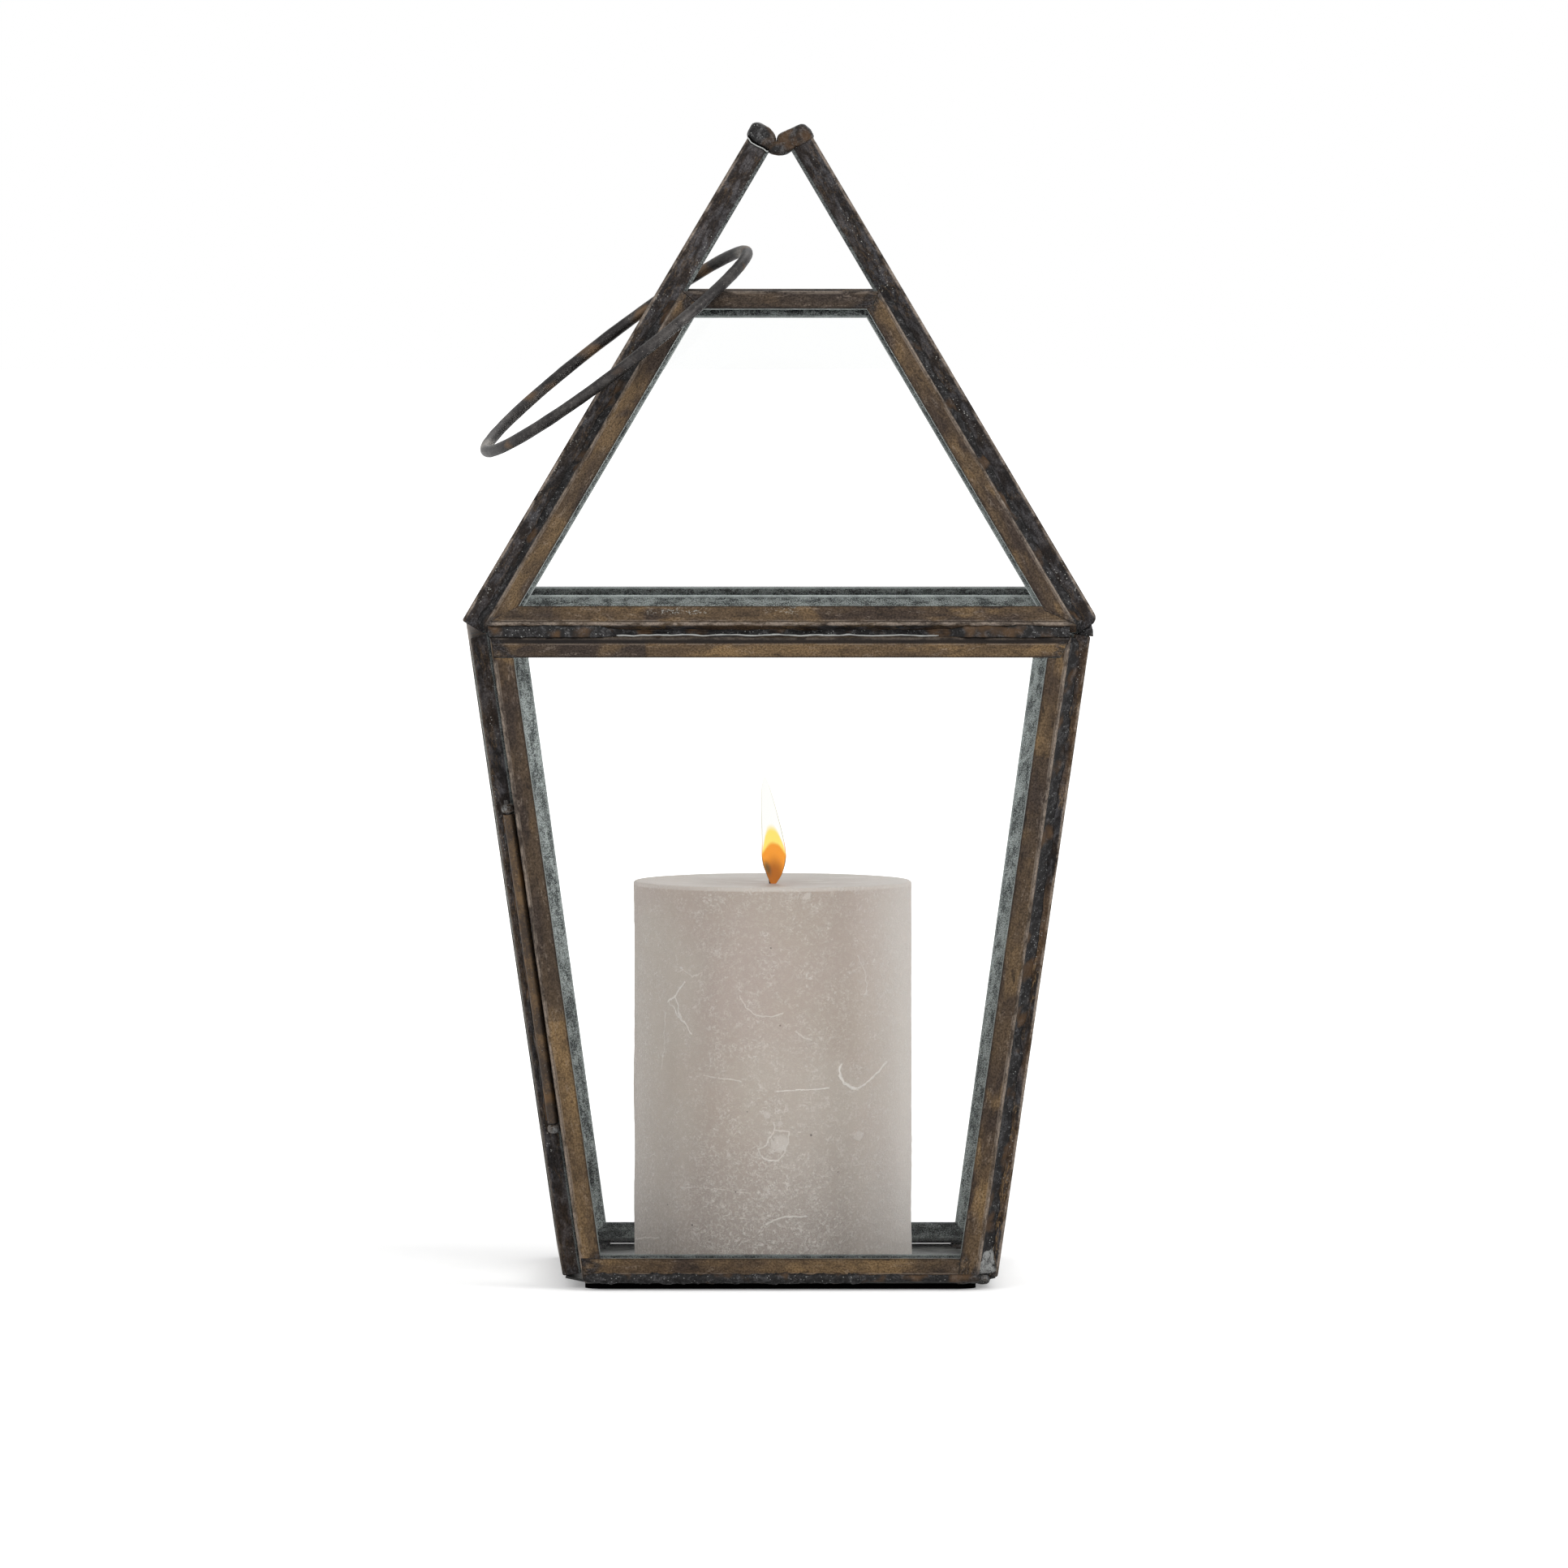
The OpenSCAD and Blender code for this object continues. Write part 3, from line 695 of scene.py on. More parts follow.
@dataclass(frozen=True)
class Patina(Finish):
    """Antiqued brass channel: brown flanges with worn patches, dark webs with flecks, tinned inner faces.

    Its pattern follows the strip, and the seed shifts it."""

    strip: Strip
    seed: float
    wear: Wear = Wear()
    stretches: tuple[Stretch, ...] = ()
    umber: tuple = tone(64, 54, 47)
    bronze: tuple = tone(92, 76, 58)
    honey: tuple = tone(120, 98, 70)
    smoke: tuple = tone(54, 49, 47)
    gunmetal: tuple = tone(66, 65, 67)
    soot_and_shade: tuple = tone(31, 29, 29)
    russet: tuple = tone(88, 68, 48)
    blush: tuple = tone(150, 137, 125)
    pearl: tuple = tone(196, 196, 190)
    frost: tuple = tone(148, 150, 146)
    tin_light: tuple = tone(158, 165, 163)
    tin_dark: tuple = tone(66, 70, 70)
    flange_w: float = 5.5

    def dress(self) -> bpy.types.Material:
        """The material: colours for the outside of the flange, the web and the tin inside, joined by where
        they are, with a paler fold and grime at the joints.

        Returns:
            The material.
        """
        p, strip, wear = Paint(self.name), self.strip, self.wear
        local = p.place - tuple(strip.start)
        s, v, w = local.dot(strip.along), local.dot(strip.across), local.dot(strip.out)
        shift = tuple(step * self.seed for step in (7.3, 3.1, 1.7))
        p.place, p.shift = p.joined(s, v, w), shift
        cloud = p.noise((22, 8, 8), 3, 0.6)
        patch = p.noise((15, 7, 7), 2, 0.5, 0.6, shift=shift[::-1])
        brush = p.noise((9, 0.3, 0.3), 2, 0.6)
        grain = p.noise((0.55, 0.45, 0.45), 3, 0.7)
        stain = p.noise((5, 2.0, 2.0), 4, 0.65, 0.4)
        fine = p.noise(0.3, 2, 0.7)
        outer = w.rise(strip.thick - 0.5, strip.thick - 0.1)
        behind = v.rise(0.7, 1.1)

        # The wear's darkening is painted shade: it thins the honey patches, mixes the flange towards smoke,
        # and thins the russet, the outward brown and the veins on the web.
        painted_shade, sooty = wear.painted_shade, wear.sooty
        grit = grain.rise(0.34, 0.66)
        thread = abs(p.noise((7, 1.6, 1.6), 3, 0.6, shift=shift[::-1]) - 0.5)
        warm = p.mix(cloud.rise(0.36, 0.64), self.umber, self.bronze)
        warm = p.mix(patch.rise(0.5, 0.68) * (0.8 - 0.6 * painted_shade), warm, self.honey)
        turned = {Hue.DARK: self.smoke, Hue.GOLD: self.honey, Hue.FROST: self.frost}
        for piece in self.stretches:
            start = s.rise(piece.start - piece.soft, piece.start + piece.soft)
            share = start * s.rise(piece.stop + piece.soft, piece.stop - piece.soft) * piece.share
            if piece.hue is Hue.FROST:
                share = share * (0.5 * stain + 0.5 * grain).rise(0.5, 0.58) * v.rise(2.6, 3.6)
            else:
                share = share * (0.7 + 0.6 * (cloud - 0.5))
            warm = p.mix(share, warm, turned[piece.hue])
        warm = p.mix(painted_shade * 0.7, warm, self.smoke)
        warm = warm * (0.48 + 0.16 * brush + 0.72 * grit)
        warm = p.mix(stain.rise(0.56, 0.74) * 0.6, warm, self.soot_and_shade)
        warm = p.mix(thread.rise(0.014, 0.004) * stain.rise(0.4, 0.6) * 0.55, warm, self.soot_and_shade)
        warm = p.mix(thread.rise(0.05, 0.03) * grit * stain.rise(0.5, 0.36) * 0.3, warm, self.blush)
        # Darker margins along the fold and the hem, as wide as the wear says: partly blackened metal, partly
        # painted shade where the fold turns from the light, with a thin paler line beyond the fold's margin.
        hem = v.rise(self.flange_w - 0.65, self.flange_w - 0.15)
        margin = v.rise(sooty + 0.4, sooty - 0.3).most(hem * 0.8)
        warm = p.mix(margin * (0.3 + 0.7 * stain).most(min(sooty, 1.6) - 0.67), warm, self.soot_and_shade)
        lip = v.rise(sooty - 0.05, sooty + 0.15) * v.rise(sooty + 0.5, sooty + 0.25) * stain.rise(0.4, 0.55)
        warm = p.mix(lip * 0.3, warm, self.blush)

        dark = p.mix(stain.rise(0.42, 0.66), self.soot_and_shade, self.gunmetal)
        brown = cloud.rise(0.34, 0.62) * (0.8 - 0.7 * painted_shade)
        outward = w.rise(strip.thick * 0.78, strip.thick * 0.98)
        brown = brown.most(outward * cloud.rise(0.3, 0.6) * (1.0 - 0.8 * painted_shade))
        dark = p.mix(brown * 0.8, dark, self.russet)
        vein = thread.rise(0.03, 0.008) * patch.rise(0.42, 0.55)
        dark = p.mix(vein * (0.5 - 0.35 * painted_shade), dark, self.honey)
        dark = dark * (0.5 + 0.16 * brush + 0.84 * grit)
        dust = p.dots(0.8, 0.26, 0.1) * p.noise((15, 3, 3), 2).rise(0.62 - 0.16 * wear.fleck, 0.7)
        dark = p.mix(dust * (0.3 + 0.5 * wear.fleck), dark, self.pearl)

        mottle = (0.45 * stain + 0.3 * fine + 0.25 * grain).rise(0.42, 0.58)
        bright = 1.0 - wear.dull
        tin = p.mix(mottle, self.tin_dark, self.tin_light) * ((0.62 + 0.7 * fine.rise(0.3, 0.7)) * bright)
        edge = v.rise(self.flange_w - 0.5, self.flange_w - 0.2)
        tin = p.mix(edge * 0.5 * bright, tin, self.tin_light)
        # Painted shade: the tin darkens towards the web, beside the flange in front of it.
        tin = p.mix(v.rise(1.5, 0.9) * 0.6, tin, self.soot_and_shade)

        behind = behind.most(w.rise(1.0, 0.7))
        colour = p.mix(outer, p.mix(behind, dark, tin), warm)
        # Paler along the fold: partly brass rubbed bare, partly a painted highlight on its rounded edge.
        corner = v.most(0.0) + (strip.thick - w)
        fold = corner.rise(0.95, 0.5) * stain.rise(0.34, 0.6)
        bare = max(0.0, min(1.0, 2.0 - sooty))
        colour = p.mix(fold * (0.4 + 0.4 * grit) * bare, colour, self.blush)
        joint = (s - v * 0.9).least(strip.length - s - v * 0.9)
        blot = joint.rise(3.4, 0.8) * stain.rise(0.38, 0.55) * (outer.most(1.0 - behind))
        colour = p.mix(blot * 0.8, colour, p.mix(grain.rise(0.45, 0.62), self.soot_and_shade, self.gunmetal))

        rough = 0.38 + 0.2 * stain + 0.14 * grain
        relief = 0.5 * stain + 0.4 * grit + 0.12 * brush + 0.5 * dust + 0.6 * blot * fine
        return p.finish(
            Base_Color=colour,
            Metallic=0.55 + 0.2 * outer,
            Roughness=rough,
            Normal=p.bump(relief, 0.16, 0.7),
            Specular_IOR_Level=0.12,
        )


@dataclass(frozen=True)
class TinnedSheet(Finish):
    """Dull mottled tin on the pan, its sills and the stops. Metal is how much it mirrors, from 0 to 1."""

    light: tuple = tone(122, 123, 121)
    dark: tuple = tone(74, 75, 74)
    edge: tuple = tone(130, 130, 126)
    metal: float = 0.6

    def dress(self) -> bpy.types.Material:
        """The material: two tones of cloud with paler scuffs along X.

        Returns:
            The material.
        """
        p = Paint(self.name)
        cloud = p.noise(9, 4, 0.6, 0.5)
        fine = p.noise(0.6, 3, 0.7)
        scuff = p.noise((30, 1.2, 4), 3, 0.6, shift=(3, 5, 1))
        colour = p.mix((0.7 * cloud + 0.3 * fine).rise(0.38, 0.62), self.dark, self.light)
        colour = p.mix(scuff.rise(0.64, 0.78) * 0.6, colour, self.edge)
        colour = colour * (0.8 + 0.4 * fine)
        return p.finish(
            Base_Color=colour,
            Metallic=self.metal,
            Roughness=0.68 - 0.5 * self.metal + 0.3 * cloud,
            Normal=p.bump(0.6 * cloud + 0.4 * fine, 0.2, 0.6),
            Specular_IOR_Level=0.3,
        )


@dataclass(frozen=True)
class BlackSolder(Finish):
    """Rough solder gone black, with bare grey on its high spots.

    Brightness runs from 0 for black to 1 for bare grey, and rusty from 0 to 1 for how much is stained."""

    brightness: float = 0.0
    rusty: float = 0.5
    black: tuple = tone(32, 31, 31)
    grey: tuple = tone(78, 77, 78)
    bare: tuple = tone(178, 180, 177)
    rust: tuple = tone(96, 72, 48)

    def dress(self) -> bpy.types.Material:
        """The material: black below, grey above, rust in patches and bare flecks.

        Returns:
            The material.
        """
        p, brightness, rusty = Paint(self.name), self.brightness, self.rusty
        lumps = p.noise(2.0, 4, 0.65, 0.6)
        fine = p.noise(0.45, 3, 0.7)
        warm = p.noise(7, 2, 0.5, shift=(4, 1, 8))
        high = (0.55 * lumps + 0.45 * fine).rise(0.47 - 0.2 * brightness, 0.66 - 0.2 * brightness)
        colour = p.mix(high, self.black, self.grey)
        colour = p.mix(warm.rise(0.6 - 0.16 * rusty, 0.68) * rusty * (1 - brightness), colour, self.rust)
        flecks = p.dots(0.9, 0.22, 0.08) * warm.rise(0.6, 0.4)
        colour = p.mix((flecks * 0.7).most(high * brightness * 0.85), colour, self.bare)
        return p.finish(
            Base_Color=colour,
            Metallic=0.45,
            Roughness=0.4 + 0.3 * fine,
            Normal=p.bump(lumps + 0.4 * fine + 0.3 * flecks, 0.35, 0.8 - 0.5 * brightness),
            Specular_IOR_Level=0.15,
        )


@dataclass(frozen=True)
class ClearPane(Finish):
    """Clear sheet glass, which lets light straight through and mirrors a little at a slant."""

    tint: tuple = (0.997, 0.999, 0.998, 1.0)
    bend: float = 1.25

    def dress(self) -> bpy.types.Material:
        """The material: see-through and mirror, shared by Fresnel on the side that faces the light.

        Returns:
            The material.
        """
        p = Paint(self.name)
        ripples = p.noise((38, 38, 60), 1, 0.4)
        normal = p.bump(ripples, 0.25, 0.25)
        through = p.node("BsdfTransparent", None, {"Color": self.tint})
        mirror = p.node("BsdfGlossy", None, {"Color": (1, 1, 1, 1), "Roughness": 0.03, "Normal": normal})
        share = Wire(p, p.node("Fresnel", None, {"IOR": self.bend}).outputs[0])
        share = share * (1.0 - Wire(p, p.node("NewGeometry").outputs["Backfacing"]))
        mixed = p.node("MixShader", None, {0: share, 1: through.outputs[0], 2: mirror.outputs[0]})
        return p.output(mixed)


@dataclass(frozen=True)
class WornWire(Finish):
    """Dark iron wire with bronze stains, rubbed pale within reach of the places where it has been handled."""

    dark: tuple = tone(46, 44, 44)
    mid: tuple = tone(78, 75, 73)
    bronze: tuple = tone(104, 82, 60)
    pale: tuple = tone(150, 144, 136)
    worn: tuple = ()
    reach: float = 9.0

    def dress(self) -> bpy.types.Material:
        """The material: two tones of cloud, stains, rubbed places and pale flecks.

        Returns:
            The material.
        """
        p = Paint(self.name)
        cloud = p.noise(8, 3, 0.6)
        fine = p.noise(0.6, 3, 0.7)
        stain = p.noise(12, 2, 0.5, shift=(9, 2, 5))
        colour = p.mix((0.6 * cloud + 0.4 * fine).rise(0.42, 0.66), self.dark, self.mid)
        colour = p.mix(stain.rise(0.56, 0.68) * 0.7, colour, self.bronze)
        for spot in self.worn:
            near = (p.place - spot).length().rise(self.reach, self.reach * 0.3)
            colour = p.mix(near * fine.rise(0.3, 0.6) * 0.7, colour, self.pale)
        flecks = p.dots(1.1, 0.18, 0.06)
        colour = p.mix(flecks * 0.4, colour, self.pale)
        return p.finish(
            Base_Color=colour,
            Metallic=0.7,
            Roughness=0.36 + 0.26 * fine,
            Normal=p.bump(cloud + 0.6 * fine, 0.15, 0.5),
            Specular_IOR_Level=0.2,
        )


@dataclass(frozen=True)
class BlackPad(Finish):
    """Matt black pad with a little dust."""

    black: tuple = tone(11, 10, 10)
    dust: tuple = tone(44, 43, 42)

    def dress(self) -> bpy.types.Material:
        """The material: black nap under thin clouds of dust.

        Returns:
            The material.
        """
        p = Paint(self.name)
        nap = p.noise(0.5, 3, 0.7)
        dusty = p.noise((7, 7, 1.5), 4, 0.65)
        colour = p.mix(dusty.rise(0.62, 0.8) * 0.4, self.black, self.dust)
        relief = p.bump(nap, 0.12, 0.6)
        return p.finish(Base_Color=colour, Roughness=0.95, Specular_IOR_Level=0.0, Normal=relief)


@dataclass(frozen=True)
class Scratch:
    """A pale bent scratch on the candle, by points (distance round from the front, height)."""

    line: tuple[tuple[float, float], ...]
    width: float = 0.3
    share: float = 0.7


@dataclass(frozen=True)
class RusticWax(Finish):
    """Rustic pillar wax: clouded taupe with frosty blooms, pale scratches and chips, and a few dark specks.

    Foot and top are the candle's heights, and middle is where its axis stands. Chips and specks are given as
    (distance round from the front, height, radius)."""

    foot: float
    top: float
    middle: Point
    taupe: tuple = tone(162, 149, 138)
    rose: tuple = tone(163, 149, 140)
    cool: tuple = tone(170, 161, 151)
    frost: tuple = tone(206, 200, 194)
    pale: tuple = tone(222, 217, 211)
    shade: tuple = tone(148, 138, 131)
    speck: tuple = tone(84, 74, 70)
    scratches: tuple[Scratch, ...] = (
        Scratch(((-31.9, 74.7), (-28.7, 76.5), (-25.8, 80.2)), 0.42, 0.9),
        Scratch(((-30.9, 74.6), (-26.2, 69.7)), 0.3, 0.8),
        Scratch(((-29.1, 76.1), (-26.6, 70.3), (-23.2, 66.5)), 0.34, 0.8),
        Scratch(((-28.2, 82.9), (-26.6, 83.8), (-22.8, 81.7), (-21.0, 82.8)), 0.25, 0.5),
        Scratch(((-32.6, 72.1), (-33.4, 65.3), (-34.5, 57.0)), 0.22, 0.6),
        Scratch(((-8.7, 77.0), (-7.3, 74.1), (-4.6, 72.1), (-0.5, 71.3), (2.5, 72.3)), 0.24, 0.55),
        Scratch(((5.9, 67.5), (8.3, 65.8), (10.8, 65.4)), 0.3, 0.55),
        Scratch(((-19.2, 55.5), (-13.6, 54.8), (-8.3, 54.1)), 0.24, 0.55),
        Scratch(((0.9, 51.5), (7.7, 51.8), (15.5, 52.2)), 0.26, 0.85),
        Scratch(((18.9, 58.4), (18.6, 55.4), (20.0, 53.3), (24.5, 51.5)), 0.5, 0.9),
        Scratch(((24.5, 51.5), (27.1, 53.0), (30.4, 54.5), (35.7, 58.3)), 0.4, 0.8),
        Scratch(((24.5, 87.4), (26.2, 84.6), (27.6, 81.9), (27.6, 77.1)), 0.26, 0.55),
        Scratch(
            (
                (0.2, 43.2), (0.4, 41.1), (4.2, 40.6), (4.4, 37.9), (2.9, 35.2), (1.3, 33.0), (-2.5, 33.6),
                (-4.1, 36.1), (-1.9, 37.0), (-0.8, 39.4), (0.4, 41.1),
            ),
            0.3,
            0.55,
        ),
        Scratch(((-27.1, 25.4), (-16.6, 25.3), (-5.9, 24.2)), 0.2, 0.45),
        Scratch(((-1.8, 16.0), (0.5, 17.2), (3.6, 18.0), (9.0, 18.0)), 0.34, 0.7),
        Scratch(((-55.2, 9.1), (-43.2, 10.7), (-35.7, 10.9)), 0.3, 0.6),
    )
    chips: tuple[tuple[float, float, float], ...] = (
        (9.4, 103.6, 1.3), (-1.5, 45.2, 1.3), (2.2, 42.8, 0.9), (24.5, 39.2, 1.7), (2.0, 37.5, 2.6),
    )
    specks: tuple[tuple[float, float, float], ...] = (
        (10.4, 39.8, 0.42), (-23.0, 15.3, 0.4), (2.0, 69.2, 0.3), (-0.5, 89.9, 0.3), (-6.9, 46.1, 0.25),
        (-10.1, 24.6, 0.3), (-31.9, 20.3, 0.25), (-17.7, 11.5, 0.25), (18.2, 29.7, 0.25),
    )

    def dress(self) -> bpy.types.Material:
        """The material: clouds, painted shade towards the foot, paler bands and a paler right flank as
        painted light, frost, tracks of bloom, scratches, chips, the paler rim and specks.

        Returns:
            The material.
        """
        p, foot, top = Paint(self.name), self.foot, self.top
        around, height = p.attribute("around"), p.attribute("height")
        cloud = p.noise((34, 34, 40), 3, 0.55)
        veil = p.noise(46, 2, 0.5, shift=(3, 3, 3))
        bloom = p.noise((6, 6, 5), 5, 0.72, 0.7)
        fine = p.noise(0.8, 3, 0.75)
        crumb = p.noise((1.9, 1.9, 1.4), 4, 0.75, 0.9, shift=(2, 2, 2))
        colour = p.mix(cloud.rise(0.38, 0.62), self.taupe, self.rose)
        colour = p.mix(veil.rise(0.45, 0.62) * 0.7, colour, self.cool)
        low = height.rise(foot + 52, foot + 4)
        sideways = p.place.dot((1, 0, 0)) - self.middle[0]
        # Painted shade: the wax darkens towards the foot.
        colour = p.mix(low * 0.75, colour, self.shade)
        flank = sideways.rise(19, 36.5)
        # Painted light: paler upright bands about 27.6 mm either side of the axis, stronger towards the foot,
        # that lift the shade of the corner channels.
        bands = abs(abs(sideways) - 27.6).rise(11, 2)
        colour = colour * (1.0 + bands * (0.12 + 0.14 * low))
        left = sideways.rise(-31, -36.5) * height.rise(top, top - 40)
        # Painted light: the right flank is mixed halfway to the frost colour, a side lit from the right; the
        # frost tracks below add to it.
        colour = p.mix(flank * 0.5, colour, self.frost)
        worm = abs(p.noise((1.5, 1.5, 1.3), 2, 0.55, 0.8, shift=(5, 2, 9)) - 0.5).rise(0.045, 0.012)
        dense = (0.55 * bloom + 0.45 * crumb + 0.07 * low + 0.16 * left + 0.05 * flank).rise(0.46, 0.59)
        frosty = worm * (0.25 + 0.75 * dense) * fine.rise(0.36, 0.52)
        frosty = frosty.most(dense * fine.rise(0.46, 0.62) * 0.4)
        colour = colour * (0.94 + 0.12 * crumb)
        colour = p.mix(frosty * 0.8, colour, self.frost)
        wander = p.noise(2.4, 2, 0.6, shift=(6, 6, 6))
        at = p.joined(around + (wander - 0.5) * 2.4, height + (bloom - 0.5) * 1.6)
        threads = [
            p.stroke(at, one.line).rise(one.width, one.width * 0.35) * one.share for one in self.scratches
        ]
        mark = reduce(Wire.most, threads) * fine.rise(0.24, 0.42)
        colour = p.mix(mark * 0.8, colour, self.pale)
        gaps = [((at - (x, y, 0.0)).length() + (crumb - 0.5) * r * 1.6, r) for x, y, r in self.chips]
        flake = reduce(Wire.most, [gap.rise(r, r * 0.8) for gap, r in gaps])
        colour = p.mix(flake * 0.4, colour, self.frost)
        rim = height.rise(top - 1.3, top - 0.8)
        colour = p.mix(rim * 0.45, colour, self.frost)
        inward = (p.place * (1.0, 1.0, 0.0) - (*self.middle, 0.0)).length()
        colour = p.mix(rim * inward.rise(30, 8) * 0.5, colour, self.rose)
        glint = p.noise((12, 2.4, 60), 3, 0.6, shift=(8, 1, 4)).rise(0.55, 0.66) * rim * inward.rise(34, 30)
        colour = p.mix(glint * 0.7, colour, self.frost)
        at = p.joined(around, height)
        spots = reduce(Wire.most, [(at - (x, y, 0.0)).length().rise(r, r * 0.5) for x, y, r in self.specks])
        colour = p.mix(spots * 0.9, colour, self.speck)
        relief = 0.4 * bloom + 0.35 * fine + 0.6 * frosty + 0.9 * mark + 0.7 * flake
        return p.finish(
            Base_Color=colour,
            Roughness=0.56 - 0.16 * cloud + 0.1 * frosty,
            Normal=p.bump(relief, 0.22, 0.7),
            Subsurface_Weight=0.1,
            Subsurface_Radius=(0.006, 0.004, 0.003),
            Subsurface_Scale=1.0,
            Specular_IOR_Level=0.4,
        )


@dataclass(frozen=True)
class CharredCotton(Finish):
    """A burnt wick: black up to the height low, and ember brown from the height high."""

    low: float
    high: float
    black: tuple = tone(22, 18, 16)
    ember: tuple = tone(120, 62, 26)

    def dress(self) -> bpy.types.Material:
        """The material: black threads that turn brown with height.

        Returns:
            The material.
        """
        p = Paint(self.name)
        height = p.attribute("height")
        fine = p.noise((0.4, 0.4, 0.8), 3, 0.7)
        colour = p.mix(height.rise(self.low, self.high) * fine, self.black, self.ember)
        relief = p.bump(fine, 0.2, 0.8)
        return p.finish(Base_Color=colour, Roughness=0.9, Specular_IOR_Level=0.1, Normal=relief)


@dataclass(frozen=True)
class FlameLight(Finish):
    """The flame's own light: dark orange at the wick, through a rounded yellow core, to white with a thin
    outline.

    The dark spot is the sooty place (x, z) beside the wick."""

    dark_spot: Point
    ember: tuple = tone(176, 100, 30)
    orange: tuple = tone(246, 156, 52)
    yellow: tuple = tone(254, 230, 116)
    white: tuple = tone(255, 255, 252)
    outline: tuple = tone(204, 199, 168)
    smoke: tuple = tone(96, 78, 50)

    def dress(self) -> bpy.types.Material:
        """The material. Its bands follow height + 3.7 rim^2, and white follows height + 8 rim^3, with rim 0
        in the middle and 1 outside.

        Returns:
            The material.
        """
        p = Paint(self.name)
        rim = p.attribute("rim")
        height = p.place.dot((0, 0, 1))
        soft = p.noise((2, 2, 3), 2) - 0.5
        level = height + 3.7 * rim * rim + 0.8 * soft
        colour = p.mix(level.rise(109.0, 114.2), self.ember, self.orange)
        colour = p.mix(level.rise(115.6, 117.0), colour, self.yellow)
        colour = p.mix((height + 8.0 * rim * rim * rim + 0.8 * soft).rise(119.2, 121.6), colour, self.white)
        edge = rim.rise(0.89, 0.98)
        sooty = p.mix(height.rise(113.5, 111), self.orange, self.smoke)
        colour = p.mix(edge * height.rise(118, 115), colour, sooty)
        rise, side = height - self.dark_spot[1], p.place.dot((1, 0, 0)) - self.dark_spot[0]
        across = p.joined(side + rise * 0.25, rise * 0.5)
        colour = p.mix(across.length().rise(1.5, 0.2) * 0.85, colour, self.smoke)
        colour = p.mix(edge * height.rise(115, 118), colour, self.outline)
        return p.finish(
            Base_Color=(0, 0, 0, 1),
            Roughness=1.0,
            Specular_IOR_Level=0.0,
            Emission_Color=colour,
            Emission_Strength=1.0,
        )


# ---------------------------------------------------------------- sub-assemblies


@dataclass
class ChannelFrames:
    """The folded channels, which keep their solid parts and get a patina that follows each strip.

    The runs name the channels of each frame, in the order of the edges of its outline."""

    plan: Plan = PLAN
    runs: tuple = (
        (Storey.BODY, Side.FRONT, "front", "bottom right top left"),
        (Storey.BODY, Side.RIGHT, "right", "bottom back top front"),
        (Storey.BODY, Side.BACK, "back", "bottom left top right"),
        (Storey.DOOR, Side.LEFT, "door", "bottom hinge_side top free_side"),
        (Storey.ROOF, Side.FRONT, "roof_front", "bottom right top left"),
        (Storey.ROOF, Side.BACK, "roof_back", "bottom left top right"),
        (Storey.GABLE, Side.LEFT, "roof_left", "bottom front_leg back_leg"),
        (Storey.GABLE, Side.RIGHT, "roof_right", "bottom back_leg front_leg"),
    )
    # The darkening on the door's hinge side and the roof's front channels is painted shade, and the wider
    # fold margins on the front's top and bottom and the roof's front bottom are partly painted shade.
    wears: dict[str, Wear] = field(
        default_factory=lambda: {
            "front_top": Wear(sooty=1.7),
            "front_bottom": Wear(sooty=1.2, dull=0.5),
            "back_bottom": Wear(dull=0.6),
            "door_hinge_side": Wear(painted_shade=0.85, fleck=0.6),
            "roof_front_bottom": Wear(painted_shade=0.2, sooty=1.0, dull=0.1),
            "roof_front_top": Wear(painted_shade=0.5),
        }
    )
    stretches: dict[str, tuple[Stretch, ...]] = field(
        default_factory=lambda: {
            "front_top": (Stretch(Hue.DARK, 112, 160, 0.75, 0.25), Stretch(Hue.GOLD, 8, 112, 0.4)),
            "front_left": (Stretch(Hue.DARK, 18, 104.6, 0.6, 0.5), Stretch(Hue.GOLD, 105, 168, 0.4)),
            "front_right": (Stretch(Hue.DARK, 114.5, 142, 0.7, 0.6), Stretch(Hue.DARK, 40, 114.5, 0.45, 4.0)),
            "front_bottom": (
                Stretch(Hue.GOLD, 2, 24, 0.4, 2.0),
                Stretch(Hue.GOLD, 48, 79, 0.4, 2.0),
                Stretch(Hue.DARK, 88, 101, 0.5, 2.0),
            ),
            "roof_front_bottom": (
                Stretch(Hue.DARK, 0, 18, 0.6, 0.3),
                Stretch(Hue.FROST, 43, 58.5, 0.8, 1.0),
                Stretch(Hue.FROST, 74, 83, 0.5, 1.0),
                Stretch(Hue.GOLD, 20, 42, 0.4, 1.0),
            ),
            "roof_front_top": (Stretch(Hue.DARK, 0, 60, 0.75),),
        }
    )

    def dress(self) -> None:
        """Gives each channel its own run of the patina, shifted by its number in the order of their names."""
        strips = {}
        for storey, side, prefix, ends in self.runs:
            # Painted shade: the roof panels' channels are darkened by 0.3 and the gables' fully.
            face, painted_shade = self.plan.face(storey, side), 0.3 if storey is Storey.ROOF else 0.0
            usual = Wear(1.0, 0.8) if storey is Storey.GABLE else Wear(painted_shade)
            for edge, end in enumerate(ends.split()):
                strips[f"{prefix}_{end}"] = (face.strip(edge), usual)
        for number, (node, (strip, usual)) in enumerate(sorted(strips.items(), key=lambda item: item[0])):
            wear, turned = self.wears.get(node, usual), self.stretches.get(node, ())
            coat(node, Patina(f"patina_{node}", strip, 1.0 + number, wear, turned).dress())


